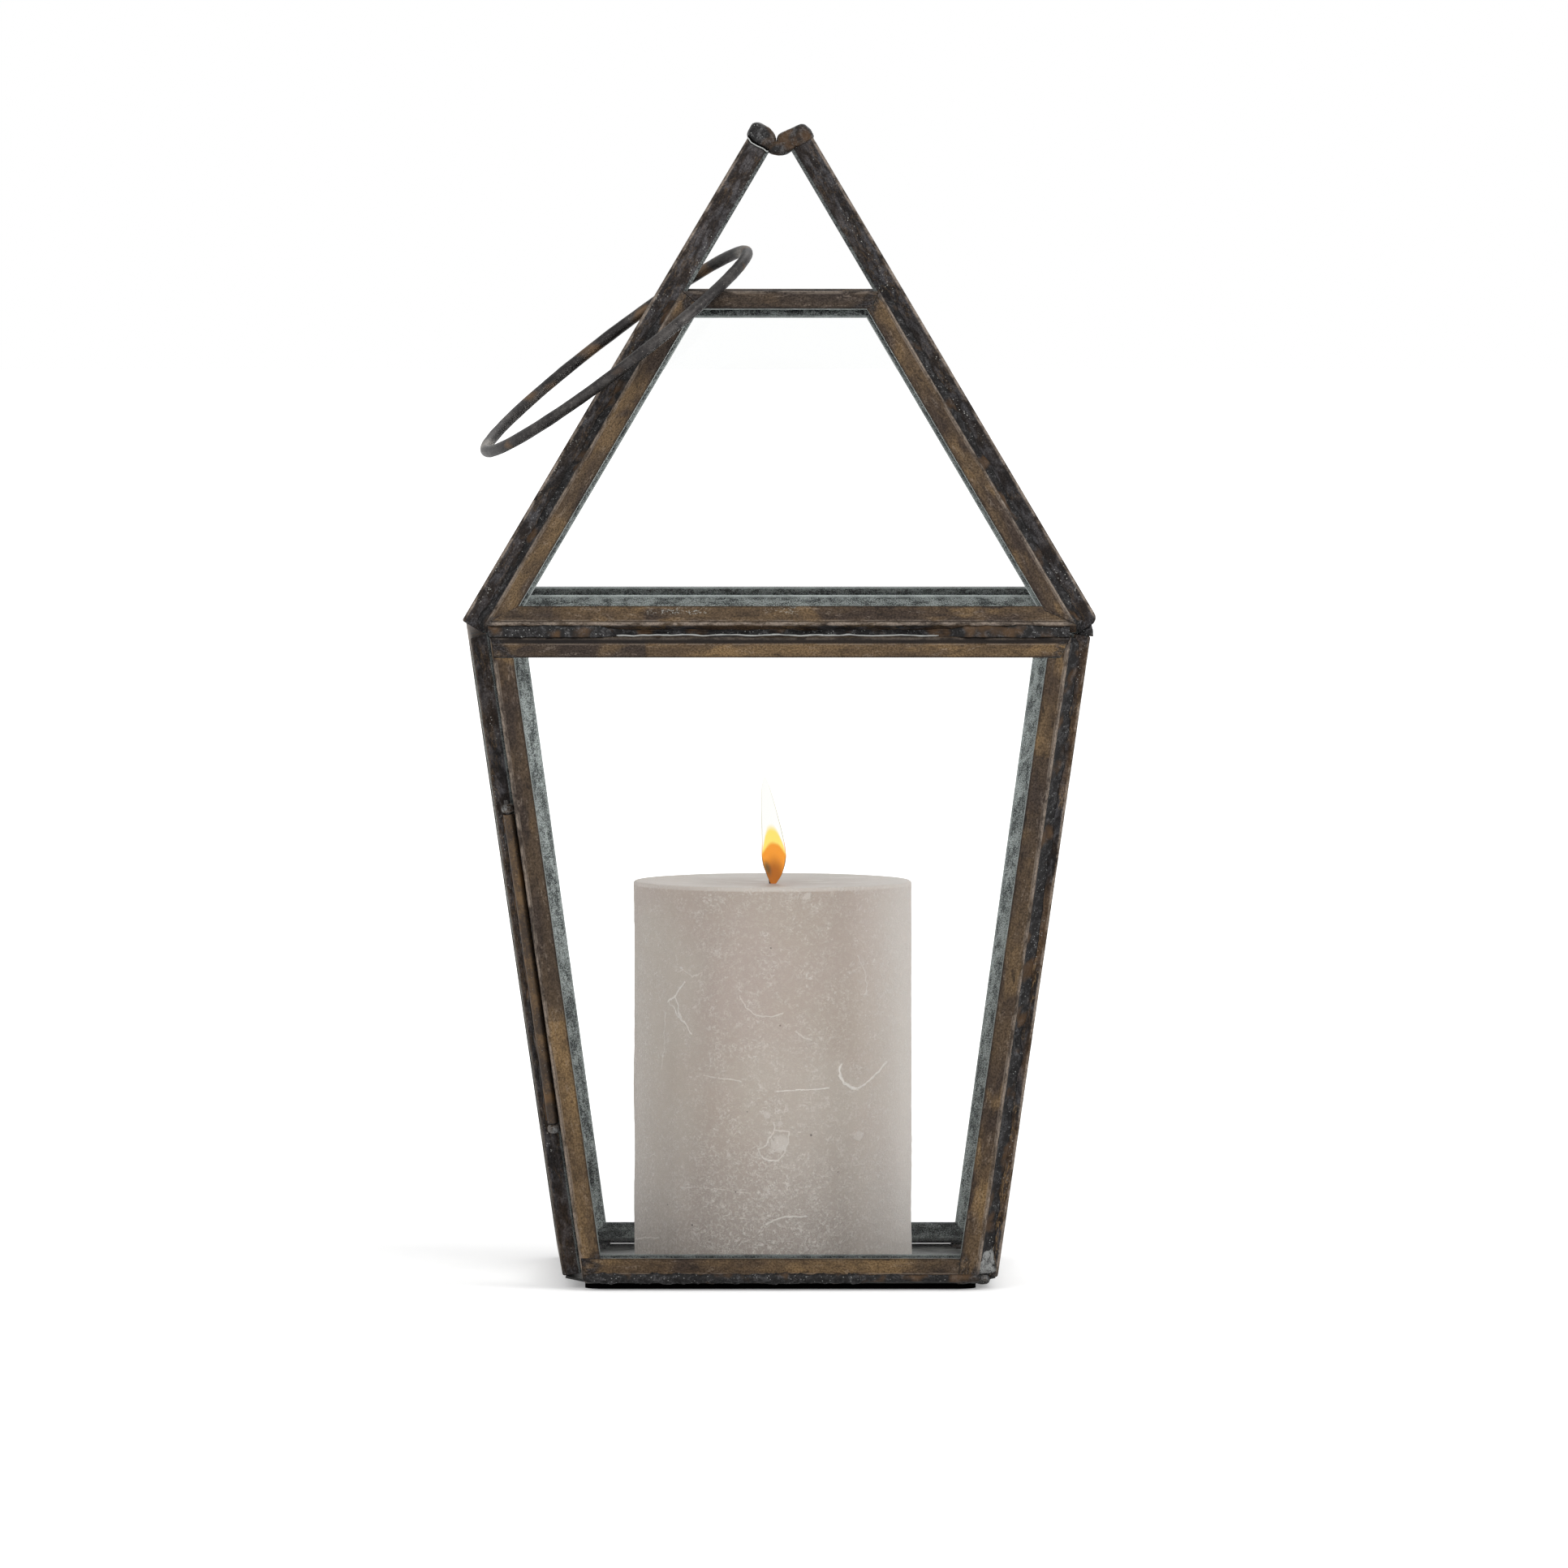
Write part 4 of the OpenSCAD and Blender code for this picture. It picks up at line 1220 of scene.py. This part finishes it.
@dataclass
class SolderWork:
    """The hand-run solder: beads up the corners and under the roof, the feet, the apex and the hinge.

    A reach is how far a bead goes on each of its two webs. Each corner is a side and an edge of its outline.
    The puddles' lines are (x, y), the apex's outlines and edge (x, z), and foot_at and ridge_at (y, z)."""

    plan: Plan = PLAN
    step: float = 0.8
    lump: float = 0.42
    body_reach: tuple = (4.2, 2.9)
    roof_reach: tuple = (4.2, 3.1)
    foot_reach: tuple = (5.0, 4.9)
    fixed_corners: tuple = ((Side.FRONT, 1), (Side.BACK, 1), (Side.BACK, 3))
    puddle_lines: tuple = (
        ((-52.2, 54.5), (-46.5, 54.5)),
        ((46.5, 54.5), (54.5, 54.5), (54.5, 46.5)),
        ((54.5, -46.5), (54.5, -54.5), (46.5, -54.5)),
        ((-46.5, -54.5), (-52.2, -54.5)),
    )
    puddle_z: float = 2.75
    foot_span: tuple = (-52.5, 53.6)
    foot_at: tuple = (-57.3, 3.35)
    ridge_span: tuple = (-45.0, 43.1)
    ridge_at: tuple = (-80.3, 174.95)
    cap_left: tuple = (
        (-3.65, 302.1), (-1.25, 303.7), (-1.2, 306.2), (-1.6, 306.7), (-2.7, 308.3), (-5.68, 309.93),
        (-7.3, 309.93), (-8.9, 307.1), (-8.9, 305.9), (-7.8, 304.4), (-4.6, 302.8),
    )
    cap_right: tuple = (
        (-0.95, 303.6), (2.0, 303.3), (5.2, 303.2), (8.9, 305.4), (8.5, 307.6), (7.4, 308.8), (5.9, 309.75),
        (2.3, 308.0), (-0.4, 306.9), (-0.9, 306.3),
    )
    sag: tuple = (
        (-4.6, 303.4), (-3.65, 302.0), (-2.0, 301.2), (-0.2, 300.9), (1.1, 301.1), (2.3, 301.6), (4.4, 303.2),
        (4.4, 304.6), (0.0, 305.0), (-4.6, 304.6),
    )
    edge: tuple = ((-8.8, 305.9), (-7.8, 304.45), (-6.3, 303.6), (-4.6, 302.85), (-3.7, 302.1), (-3.3, 302.2))
    edge_y: float = -3.45
    fillet_span: tuple = (42.9, 126.0)
    knot_spans: tuple = ((39.6, 41.95), (126.85, 129.2))
    knot_r: float = 1.75

    def make(
        self,
        name: str,
        shells: Sequence[Shell],
        stands_for: Sequence[str] = (),
        brightness: float = 0.0,
        rusty: float = 0.5,
        body: str = "lantern",
    ) -> None:
        """Makes a piece of solder from its skins, in place of solid parts, as bright and rusty as told."""
        finish = BlackSolder(f"{name}_black", brightness, rusty).dress()
        make_piece(name, shells, finish, body, stands_for)

    def bead(
        self,
        storey: Storey,
        corner: tuple[Side, int],
        ends: Point,
        legs: Point,
        seed: int,
        fill: float = 0.3,
        taper: bool = False,
    ) -> Shell:
        """A lumpy bead in the notch between two frames. Its section is a corner and the curve
        (1-t)^2 a + 2t(1-t) c + t^2 b between points a and b on the two webs, with c = fill (a + b). The curve
        and the reach of both legs swell and shrink along the edge.

        Args:
            storey: body or roof.
            corner: the side whose frame carries the edge, and the edge of its outline.
            ends: distances along the edge where the bead starts and stops.
            legs: its reach on this frame's web and on its neighbour's.
            seed: fixes the lumps.
            fill: 0.5 fills the notch flat.
            taper: whether it thins to a point away from the foot.

        Returns:
            The skin.
        """
        strip = self.plan.face(storey, corner[0]).strip(corner[1])
        lean = self.plan.roof_lean if storey is Storey.ROOF else self.plan.body_lean
        notch = math.acos(math.sin(math.radians(lean)) ** 2)
        s = np.arange(ends[0], ends[1] + self.step, self.step).clip(*ends)
        end = np.minimum(1, np.minimum(s - s[0], s[-1] - s) / 1.6) ** 0.5 * 0.75 + 0.25
        if taper:
            away = s - s[0] if corner[1] == 1 else s[-1] - s
            end = end * (1 - 0.7 * (away / away.max()) ** 1.3)
        line = grid(s, 0, 0)
        near, far = (
            (leg * (1 + 0.16 * ripple(line, 9, seed + n)) * end)[:, None] for n, leg in enumerate(legs)
        )
        t = np.linspace(0, 1, 13)
        v, w = (
            (1 - t) ** 2 * near * a + 2 * t * (1 - t) * fill * (near * a + far * b) + t**2 * far * b
            for a, b in ((0.0, -math.sin(notch)), (1.0, math.cos(notch)))
        )
        lumps = self.lump * ripple(grid(s[:, None], v, w), 3.2, seed + 5, 2)
        swell = lumps * np.sin(math.pi * t) * end[:, None]
        root = np.full((len(s), 1), 0.03)
        v = np.concatenate([v - swell * math.sin(notch / 2), -root], 1)
        w = np.concatenate([w + swell * math.cos(notch / 2), root], 1)
        return Shell.sweep(strip.place(s[:, None], v, w))

    def up_body(
        self, low: float, high: float, legs: Point, seed: int, fill: float = 0.3, taper: bool = False
    ) -> list[Shell]:
        """Beads up the three fixed corners of the body.

        Args:
            low: where they start, from the foot.
            high: where they stop.
            legs: their reach.
            seed: fixes the lumps.
            fill: as bead takes it.
            taper: as bead takes it.

        Returns:
            The skins.
        """
        shells = []
        for number, corner in enumerate(self.fixed_corners):
            length = self.plan.face(Storey.BODY, corner[0]).strip(corner[1]).length
            ends = (low, high) if corner[1] == 1 else (length - high, length - low)
            shells.append(self.bead(Storey.BODY, corner, ends, legs, seed + 9 * number, fill, taper))
        return shells

    def corners(self) -> None:
        """Beads up the corners of the body and the roof, and brighter solder that fills the body's feet."""
        storeys = (Storey.BODY, Storey.ROOF)
        body, roof = (self.plan.face(storey, Side.FRONT).strip(1).length for storey in storeys)
        self.make("corner_beads", self.up_body(3.0, body - 0.8, self.body_reach, 20), ["body_corner_solder"])
        four = [(side, edge) for side in (Side.FRONT, Side.BACK) for edge in (1, 3)]
        shells = [
            self.bead(Storey.ROOF, corner, (0.8, roof - 0.8), self.roof_reach, 60 + 11 * number)
            for number, corner in enumerate(four)
        ]
        self.make("roof_beads", shells, ["roof_corner_solder"])
        feet = self.up_body(0.3, 12.0, self.foot_reach, 120, 0.44, True)
        self.make("foot_fillets", feet, ["base_solder"], 0.5)

    def puddles(self) -> None:
        """Solder in the open corners of the base: cords of uneven radius on the sills' ends."""
        shells = []
        for number, path in enumerate(self.puddle_lines):
            at = np.linspace(0, len(path) - 1, 24)
            line = grid(*along(path, at).T, self.puddle_z)
            ends = np.minimum(1, np.minimum(at, at[-1] - at) * 6 + 0.5)
            shells.append(Shell.cord(line, (1.15 + 0.2 * ripple(line, 4, 250 + number)) * ends, (0, 0, 1)))
        self.make("base_puddles", shells, (), 0.15)

    def foot_bead(self) -> None:
        """Rough solder along the fold under the front's bottom channel: circles with an uneven radius, rough
        on the left and nearly smooth at the right end."""
        x, a = np.arange(*self.foot_span, 0.45)[:, None], circle(16)
        rough = np.clip((30 - x) / 10, 0.15, 1)
        spots = grid(x, 2 * np.cos(a), 2 * np.sin(a))
        lumps = 0.3 * ripple(spots, 2.6, 240, 2) + 0.2 * ripple(spots, 1.1, 241)
        ends = np.minimum(1, np.minimum(x + 52.9, 54 - x) / 2.5) ** 0.5
        swell = ripple(grid(x, 0, 0), 8, 242)
        radius = ends * (1.15 + 0.3 * rough + 0.25 * swell) + rough * ends * lumps
        y, z = self.foot_at
        rings = grid(x, y - radius * np.cos(a), z + 0.95 * radius * np.sin(a))
        self.make("foot_bead", [Shell.sweep(rings)])

    def seam(self) -> None:
        """Solder in the groove under the roof: a wedge whose open face wanders, fuller at its ends."""
        plan, shells = self.plan, []
        half, step = plan.roof_base / 2, (plan.roof_base - plan.body_top) / 2
        x, t = np.arange(1 - half, half - 0.99, 1.0)[:, None], np.linspace(0, 1, 9)
        bow, full = np.sin(math.pi * t), np.clip((np.abs(x) - 40) / 9, 0, 1)
        rough = 0.3 * ripple(grid(x, 4 * t, 0), 4, 220)
        back = np.full_like(x, -0.3)
        for side in (Side.FRONT, Side.RIGHT, Side.BACK):
            line = grid(x, 50.0 * side.value, 0)
            depth = 2.2 + 0.35 * ripple(line, 14, 210) + 2.0 * full * (1 + 0.25 * ripple(line, 5, 215))
            low = 0.06 - (depth + step) * math.tan(math.radians(plan.body_lean))
            high = 0.9 * depth * math.tan(math.radians(plan.roof_lean)) - 0.06
            y = -(depth * (1 - 0.1 * t) - 0.5 * bow * (1 - full) + rough * bow)
            y = np.concatenate([y, back, back], 1)
            z = np.concatenate([low + (high - low) * t, 0 * x + 0.1, 0 * x - 0.25], 1)
            rings = grid(x, y - half, z + plan.roof_z)
            shells.append(Shell.sweep(rings[:, ::-1] @ turn((0, 0, 1), 90 * side.value).T))
        self.make("seam_beads", shells, ["seam_solder"])

    def ridge(self) -> None:
        """The bright ridge along the front of that seam: a thin cord that wanders and thins out."""
        x = np.arange(*self.ridge_span, 0.8)
        wave = 0.18 * ripple(grid(x, 0, 0), 9, 232) - 0.15 * (x / 45) ** 2
        y, z = self.ridge_at
        line = grid(x, y + wave, z + wave)
        ends = np.minimum(1, np.minimum(x + 45.4, 43.5 - x) / 3)
        radius = ends * (0.24 + 0.07 * ripple(line, 3, 233))
        self.make("seam_ridge", [Shell.cord(line, radius)], (), 1.0)

    def lump_of(self, outline: Sequence[Point], depth: float, seed: int, rough: float = 0.16) -> Shell:
        """A rounded lump whose front view is an outline: the ring at depth d, from -1 to 1, is the outline
        drawn toward its middle by (1 - |d|^5)^(1/5), and all of it is made uneven.

        Args:
            outline: points (x, z), anticlockwise from the front.
            depth: its size from front to back.
            seed: fixes its unevenness.
            rough: how uneven it is, in millimetres.

        Returns:
            The skin.
        """
        loop = np.array([*outline, outline[0]])
        run = np.concatenate([[0], np.cumsum(np.linalg.norm(np.diff(loop, axis=0), axis=1))])
        ring = along(loop, np.linspace(0, run[-1], 40, endpoint=False), run)
        for _ in range(2):
            ring = 0.5 * ring + 0.25 * (np.roll(ring, 1, 0) + np.roll(ring, -1, 0))
        middle = ring.mean(0)
        d = np.sin(np.linspace(-1, 1, 17) * math.pi / 2)[:, None]
        x, z = (np.maximum(1 - np.abs(d) ** 5, 0.02) ** 0.2 * one for one in (ring - middle).T)
        rings = grid(middle[0] + x, d * depth / 2, middle[1] + z)
        lumps = rough * ripple(rings, 3.0, seed)[..., None] / 4
        return Shell.sweep(rings + lumps * (rings - [middle[0], 0, middle[1]]))

    def apex(self) -> None:
        """The two rounded leg ends, the sagging bridge below, a bright edge and a black cord above that edge,
        which is a painted shadow.
        """
        self.make("apex_cap_left_solder", [self.lump_of(self.cap_left, 7.0, 300)], ["apex_cap_left"], 0.05)
        self.make("apex_cap_right_solder", [self.lump_of(self.cap_right, 7.0, 301)], ["apex_cap_right"], 0.05)
        self.make("apex_sag", [self.lump_of(self.sag, 6.4, 310, 0.12)], ["apex_bridge"])
        x, z = along(self.edge, np.linspace(0, len(self.edge) - 1, 26)).T
        line = grid(x, self.edge_y, z)
        self.make("apex_edge", [Shell.cord(line, np.full(26, 0.2))], (), 1.0)
        # Painted shadow: a black cord just above the bright edge.
        painted_shadow = Shell.cord(line + [0.12, -0.06, 0.42], np.full(26, 0.24))
        make_piece("apex_painted_shadow", [painted_shadow], BlackPad("black_painted_shadow").dress(), "lantern")

    def hinge(self) -> None:
        """Solder under the hinge tube on the door, an uneven hollow wedge, and a knot round each end of the
        pin. A knot's radius bulges by 1 - 0.35 u^4, with u from -1 to 1 along it, and clears the webs."""
        plan, a = self.plan, np.radians(np.linspace(200, 340, 11))
        z = np.arange(*self.fillet_span, 0.8)[:, None]
        line, web = grid(z, 0, 0), -(plan.hinge_off + 0.37)
        wide = 1.9 + 0.5 * ripple(line, 8, 400)
        hold = plan.tube_r + 0.26 + 0.16 * ripple(line, 5, 402) + 0.1 * ripple(line, 1.8, 403)
        x = np.concatenate([hold * np.cos(a), wide, -0.75 * wide], 1)
        y = np.concatenate([hold * np.sin(a), np.full((len(z), 2), web)], 1)
        fillet = Shell.sweep(plan.swung(plan.at_hinge(x, np.maximum(y, web), z)))
        self.make("tube_fillet", [fillet], ["hinge_tube_solder"], 0.1, 1.0, body="door")
        shells, a, u = [], circle(20), np.linspace(-1, 1, 7)[:, None]
        bulge = self.knot_r * (1 - 0.35 * np.abs(u) ** 4)
        for low, high in self.knot_spans:
            x = np.maximum(bulge * np.cos(a), 0.03 - plan.hinge_off)
            y = np.clip(bulge * np.sin(a), -self.knot_r, self.knot_r)
            shells.append(Shell.sweep(plan.at_hinge(x, y, (low + high) / 2 + (high - low) / 2 * u)))
        self.make("pin_knots", shells, ["hinge_pin_solder"], 0.3)

    def build(self) -> None:
        """Makes all the solder."""
        self.corners()
        self.puddles()
        self.foot_bead()
        self.seam()
        self.ridge()
        self.apex()
        self.hinge()


@dataclass
class CarryingRing:
    """The loose ring of round wire, a little uneven, on the two top bars.

    Slope and lean are in degrees, and rubbed are the places where it is rubbed pale."""

    radius: float = 44.0
    wire_r: float = 1.56
    centre: tuple = (-44.1, -3.4696, 248.4767)
    slope: float = 37.2
    lean: float = 5.6
    rubbed: tuple = ((-10, 2, 273), (-78, 0, 222))

    def build(self) -> None:
        """Sweeps a circle round a circle, R (cos t, sin t, 0) + r (cos a cos t, cos a sin t, sin a), with a
        wire radius r that varies by a few hundredths, then leans it, slopes it and moves it to its place."""
        t, a = circle(240), circle(18)[::-1]
        spine = grid(np.cos(t), np.sin(t), 0)
        thick = (self.wire_r + 0.05 * ripple(spine * self.radius, 9, 500))[:, None]
        rings = spine[:, None] * (self.radius + thick * np.cos(a))[..., None]
        rings[..., 2] = thick * np.sin(a)
        turned = turn((0, 1, 0), -self.slope) @ turn((1, 0, 0), self.lean)
        rings = rings @ turned.T + self.centre
        finish = WornWire("ring_wire", worn=self.rubbed).dress()
        shell = Shell.sweep(rings, looped=True)
        make_piece("carrying_ring", [shell], finish, "ring", ["ring_handle"])


@dataclass
class PillarCandle:
    """The candle, its curved wick and its flame.

    Rim_r rounds the rim, rim_w is the rim's width, and dish is the pool's depth. The wick is wick_h long and
    starts wick_sunk below the pool. The dark spot is (x, z), and a station of the flame is (height, middle,
    half width)."""

    radius: float = 37.5
    foot: float = 2.2
    top: float = 106.1
    middle: tuple = (-2.05, 0.0)
    rim_r: float = 0.7
    rim_w: float = 4.0
    dish: float = 0.9
    wick_r: float = 0.6
    wick_h: float = 15.4
    wick_sunk: float = 10.0
    dark_spot: tuple = (-3.5, 109.3)
    stations: tuple = (
        (104.3, -2.0, 0.4), (104.9, -1.98, 0.62), (106.0, -1.8, 1.3), (107.57, -1.68, 2.1),
        (110.0, -1.75, 2.96), (112.43, -1.76, 3.35), (115.83, -1.92, 3.13), (119.71, -2.39, 2.72),
        (125.54, -3.24, 2.02), (131.37, -4.01, 1.09), (134.67, -4.37, 0.0),
    )

    def profile(self) -> tuple[np.ndarray, np.ndarray]:
        """Half of the candle's section, from the middle of the foot: side, rounded rim, flat rim and dish,
        which falls as 1 - (r / its half width)^2.

        Returns:
            Its distances from the axis and its heights.
        """
        edge, inner, rows = self.radius - self.rim_r, self.radius - self.rim_w, 90
        side = np.linspace(self.foot, self.top - self.rim_r, rows)
        side[0] += 0.25
        bend = np.radians(np.linspace(0, 90, 9))[1:]
        flat, inward = np.linspace(edge, inner, 4)[1:], np.linspace(inner, 1.2, 34)[1:]
        round_r, round_z = edge + self.rim_r * np.cos(bend), self.top - self.rim_r * (1 - np.sin(bend))
        dish = self.top - self.dish * (1 - (inward / inner) ** 2)
        foot_r, foot_z = [2.0, 20.0, self.radius - 0.6], np.full(3, self.foot + 0.02)
        radius = np.concatenate([foot_r, np.full(rows, self.radius), round_r, flat, inward])
        return radius, np.concatenate([foot_z, side, round_z, np.full(3, self.top), dish])

    def wax(self) -> None:
        """Turns the profile about the candle's axis, (x, y) = middle + r (cos t, sin t), and dents it: the
        side by long and short ripples with chips near the rim, and the pool by ripples that die there."""
        t, (radius, height) = circle(180), self.profile()
        radius, height = radius[:, None], height[:, None]
        x, y = self.middle[0] + radius * np.cos(t), self.middle[1] + radius * np.sin(t)
        shell = Shell.sweep(grid(x, y, height))
        p = shell.points
        away = (p - [*self.middle, 0]) * [1, 1, 0]
        reach = np.linalg.norm(away, axis=1)
        on_side = np.clip((reach - self.radius + 3) / 3, 0, 1)
        chips = np.clip(ripple(p, 9, 601) - 0.55, 0, None) * np.clip((p[:, 2] - self.top + 5) / 4, 0, 1)
        dents = 0.12 * ripple(p, 26, 600) - 0.1 + 0.05 * ripple(p, 4, 602) - 0.5 * chips
        shell.points = p + away * (dents * on_side / np.maximum(reach, 1e-6))[:, None]
        on_top = p[:, 2] > self.top - 3
        pool = ripple(p, 16, 603) * np.clip((self.radius - 1.5 - reach) / 6, 0, 1)
        shell.points[:, 2] += 0.12 * (pool - 1) * on_top
        values = {"around": np.arctan2(away[:, 0], -away[:, 1]) * self.radius, "height": p[:, 2]}
        finish = RusticWax("rustic_wax", self.foot, self.top, self.middle).dress()
        make_piece("pillar_candle", [shell], finish, "candle", ["candle"], values)

    def wick(self) -> None:
        """Sweeps a shrinking three-stranded circle up a line that bends over toward its tip."""
        t, a = np.linspace(0, 1, 22)[:, None], circle(12)
        start = self.top - self.dish - self.wick_sunk
        x = self.middle[0] - 1.6 * t**3 + 0.12 * np.sin(9 * t)
        r = self.wick_r * (1 - 0.35 * t**4) * (1 + 0.12 * np.sin(3 * a + 14 * t))
        shell = Shell.sweep(grid(x + r * np.cos(a), 0.5 * t**2 + r * np.sin(a), start + self.wick_h * t))
        low = start + self.wick_sunk
        finish = CharredCotton("charred_wick", low + 2.5, low + 5.4).dress()
        make_piece("curved_wick", [shell], finish, "candle", ["wick"], {"height": shell.points[:, 2]})

    def flame(self) -> None:
        """Turns a teardrop about a line that leans to its tip: half widths and middles are read off the
        stations by straight steps and smoothed by a running mean of nine."""
        (low, *_), (high, *_) = self.stations[0], self.stations[-1]
        marks, *shape = np.array(self.stations).T
        lift = low + (high - low) * (0.5 - 0.5 * np.cos(np.linspace(0, math.pi, 90)))
        even = low + (high - low) * np.linspace(-0.06, 1.06, 200)
        mean = np.ones(9) / 9
        smooth = (np.convolve(np.interp(even, marks, one), mean, "same") for one in shape)
        bend, wide = (np.interp(lift, even, one) for one in smooth)
        ends = np.minimum(1, np.minimum(lift - low, high - lift) * 1.6) ** 0.5
        radius, a = np.maximum(wide * ends, 0.01)[:, None], circle(40)
        rings = grid(bend[:, None] + radius * np.cos(a), 0.8 * radius * np.sin(a), lift[:, None])
        rim = np.tile(np.abs(np.cos(a)), len(lift))
        finish = FlameLight("flame_light", self.dark_spot).dress()
        values = {"rim": np.concatenate([rim, [0, 1]])}
        make_piece("flame", [Shell.sweep(rings)], finish, "candle", (), values)

    def build(self) -> None:
        """Makes the wax, the wick and the flame."""
        self.wax()
        self.wick()
        self.flame()


@dataclass
class SheetAndGlass:
    """The panes, pan, sills, stops, pad, hinge tube and pin, which keep their solid parts."""

    finishes: tuple[tuple[Finish, tuple[str, ...]], ...] = (
        (ClearPane("clear_pane"), tuple(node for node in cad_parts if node.endswith("glass"))),
        (TinnedSheet("tinned_sheet"), ("floor_pan", "door_stops")),
        (
            TinnedSheet("dull_sills", tone(94, 94, 92), tone(57, 57, 57), tone(108, 108, 106), 0.15),
            ("sill_strips",),
        ),
        (BlackPad("black_pad"), ("base_pad",)),
        (
            WornWire("hinge_tube_bronze", tone(60, 52, 46), tone(104, 84, 62), tone(120, 90, 56)),
            ("hinge_tube",),
        ),
        (WornWire("hinge_pin_wire"), ("hinge_pin",)),
    )

    def dress(self) -> None:
        """Gives each its finish."""
        for finish, nodes in self.finishes:
            material = finish.dress()
            for node in nodes:
                coat(node, material)


@dataclass
class Studio:
    """The pale floor, the soft lamps and the camera, in metres, degrees and watts.

    Each lamp is (place, size, power), and the glow is the floor's own light near the lantern and far off."""

    fill: float = 0.8
    floor_size: float = 30.0
    glow: tuple = (0.22, 0.72)
    camera_at: tuple = (0.00095, -3.5736, 0.3014)
    pitch: float = 2.715
    lens: float = 305.0
    aim: tuple = (0.0, 0.0, 0.15)
    lamps: dict[str, tuple[Point, float, float]] = field(
        default_factory=lambda: {
            "key_right": ((1.3, -1.1, 1.25), 1.2, 20.0),
            "front_left": ((-1.2, -1.8, 1.0), 1.4, 13.0),
            "top_back": ((0.3, 1.2, 1.6), 1.2, 5.0),
        }
    )

    def add(self, name: str, data: bpy.types.ID) -> bpy.types.Object:
        """Puts a thing in the scene.

        Args:
            name: its name.
            data: its mesh, lamp or camera.

        Returns:
            The object.
        """
        thing = bpy.data.objects.new(name, data)
        bpy.context.scene.collection.objects.link(thing)
        return thing

    def sky(self) -> None:
        """White to the camera, to mirrors and through glass, and a softer fill for everything else."""
        p = Paint("pale_room", "worlds")
        strength = self.fill + (1.0 - self.fill) * p.seen()
        back = p.node("Background", None, {"Color": (1, 1, 1, 1), "Strength": strength})
        bpy.context.scene.world = p.output(back, "OutputWorld")

    def floor(self) -> None:
        """A pale floor that shows white where nothing shades it."""
        corners = self.floor_size / 2 * np.array([(-1, -1, 0), (1, -1, 0), (1, 1, 0), (-1, 1, 0)])
        mesh = bpy.data.meshes.new("pale_floor")
        mesh.from_pydata(corners.tolist(), [], [(0, 1, 2, 3)])
        p = Paint("pale_floor")
        near, distant = ((share, share, share, 1.0) for share in self.glow)
        light = p.mix(p.place.length().rise(150, 900), near, distant)
        colour = p.mix(p.noise(300, 2), tone(233, 233, 233), tone(236, 236, 236))
        lit = p.node("BsdfDiffuse", None, {"Color": colour})
        own = p.node("Emission", None, {"Color": light, "Strength": p.seen()})
        mesh.materials.append(p.output(p.node("AddShader", None, {0: lit.outputs[0], 1: own.outputs[0]})))
        self.add("pale_floor", mesh)

    def lamp(self, name: str, at: Point, size: float, power: float) -> None:
        """A square soft lamp that faces the lantern's middle.

        Args:
            name: its name.
            at: its place.
            size: the length of its sides.
            power: its power.
        """
        light = bpy.data.lights.new(name, "AREA")
        light.shape, light.size, light.energy = "SQUARE", size, power
        x, y, z = np.subtract(self.aim, at)
        lamp = self.add(name, light)
        lamp.location = at
        lamp.rotation_euler = (math.atan2(math.hypot(x, y), -z), 0, math.atan2(-x, y))
        lamp.visible_camera = False

    def camera(self) -> None:
        """A long lens, level with the lantern's top and looking slightly down."""
        data = bpy.data.cameras.new("camera")
        data.lens, data.sensor_width = self.lens, 36.0
        data.clip_start, data.clip_end = 0.1, 100.0
        camera = self.add("camera", data)
        camera.location = self.camera_at
        camera.rotation_euler = (math.radians(90 - self.pitch), 0, 0)
        bpy.context.scene.camera = camera

    def build(self) -> None:
        """Sets up the whole studio."""
        bpy.context.scene.view_settings.view_transform = "Standard"
        self.sky()
        self.floor()
        for name, (at, size, power) in self.lamps.items():
            self.lamp(name, at, size, power)
        self.camera()
        LOG.info("studio ready")


def main() -> None:
    """Builds the studio and the lantern's pieces in order."""
    logging.basicConfig(level=logging.INFO, format="%(name)s: %(message)s", stream=sys.stdout)
    Studio().build()
    ChannelFrames().dress()
    SheetAndGlass().dress()
    SolderWork().build()
    CarryingRing().build()
    PillarCandle().build()


if __name__ == "__main__":
    main()
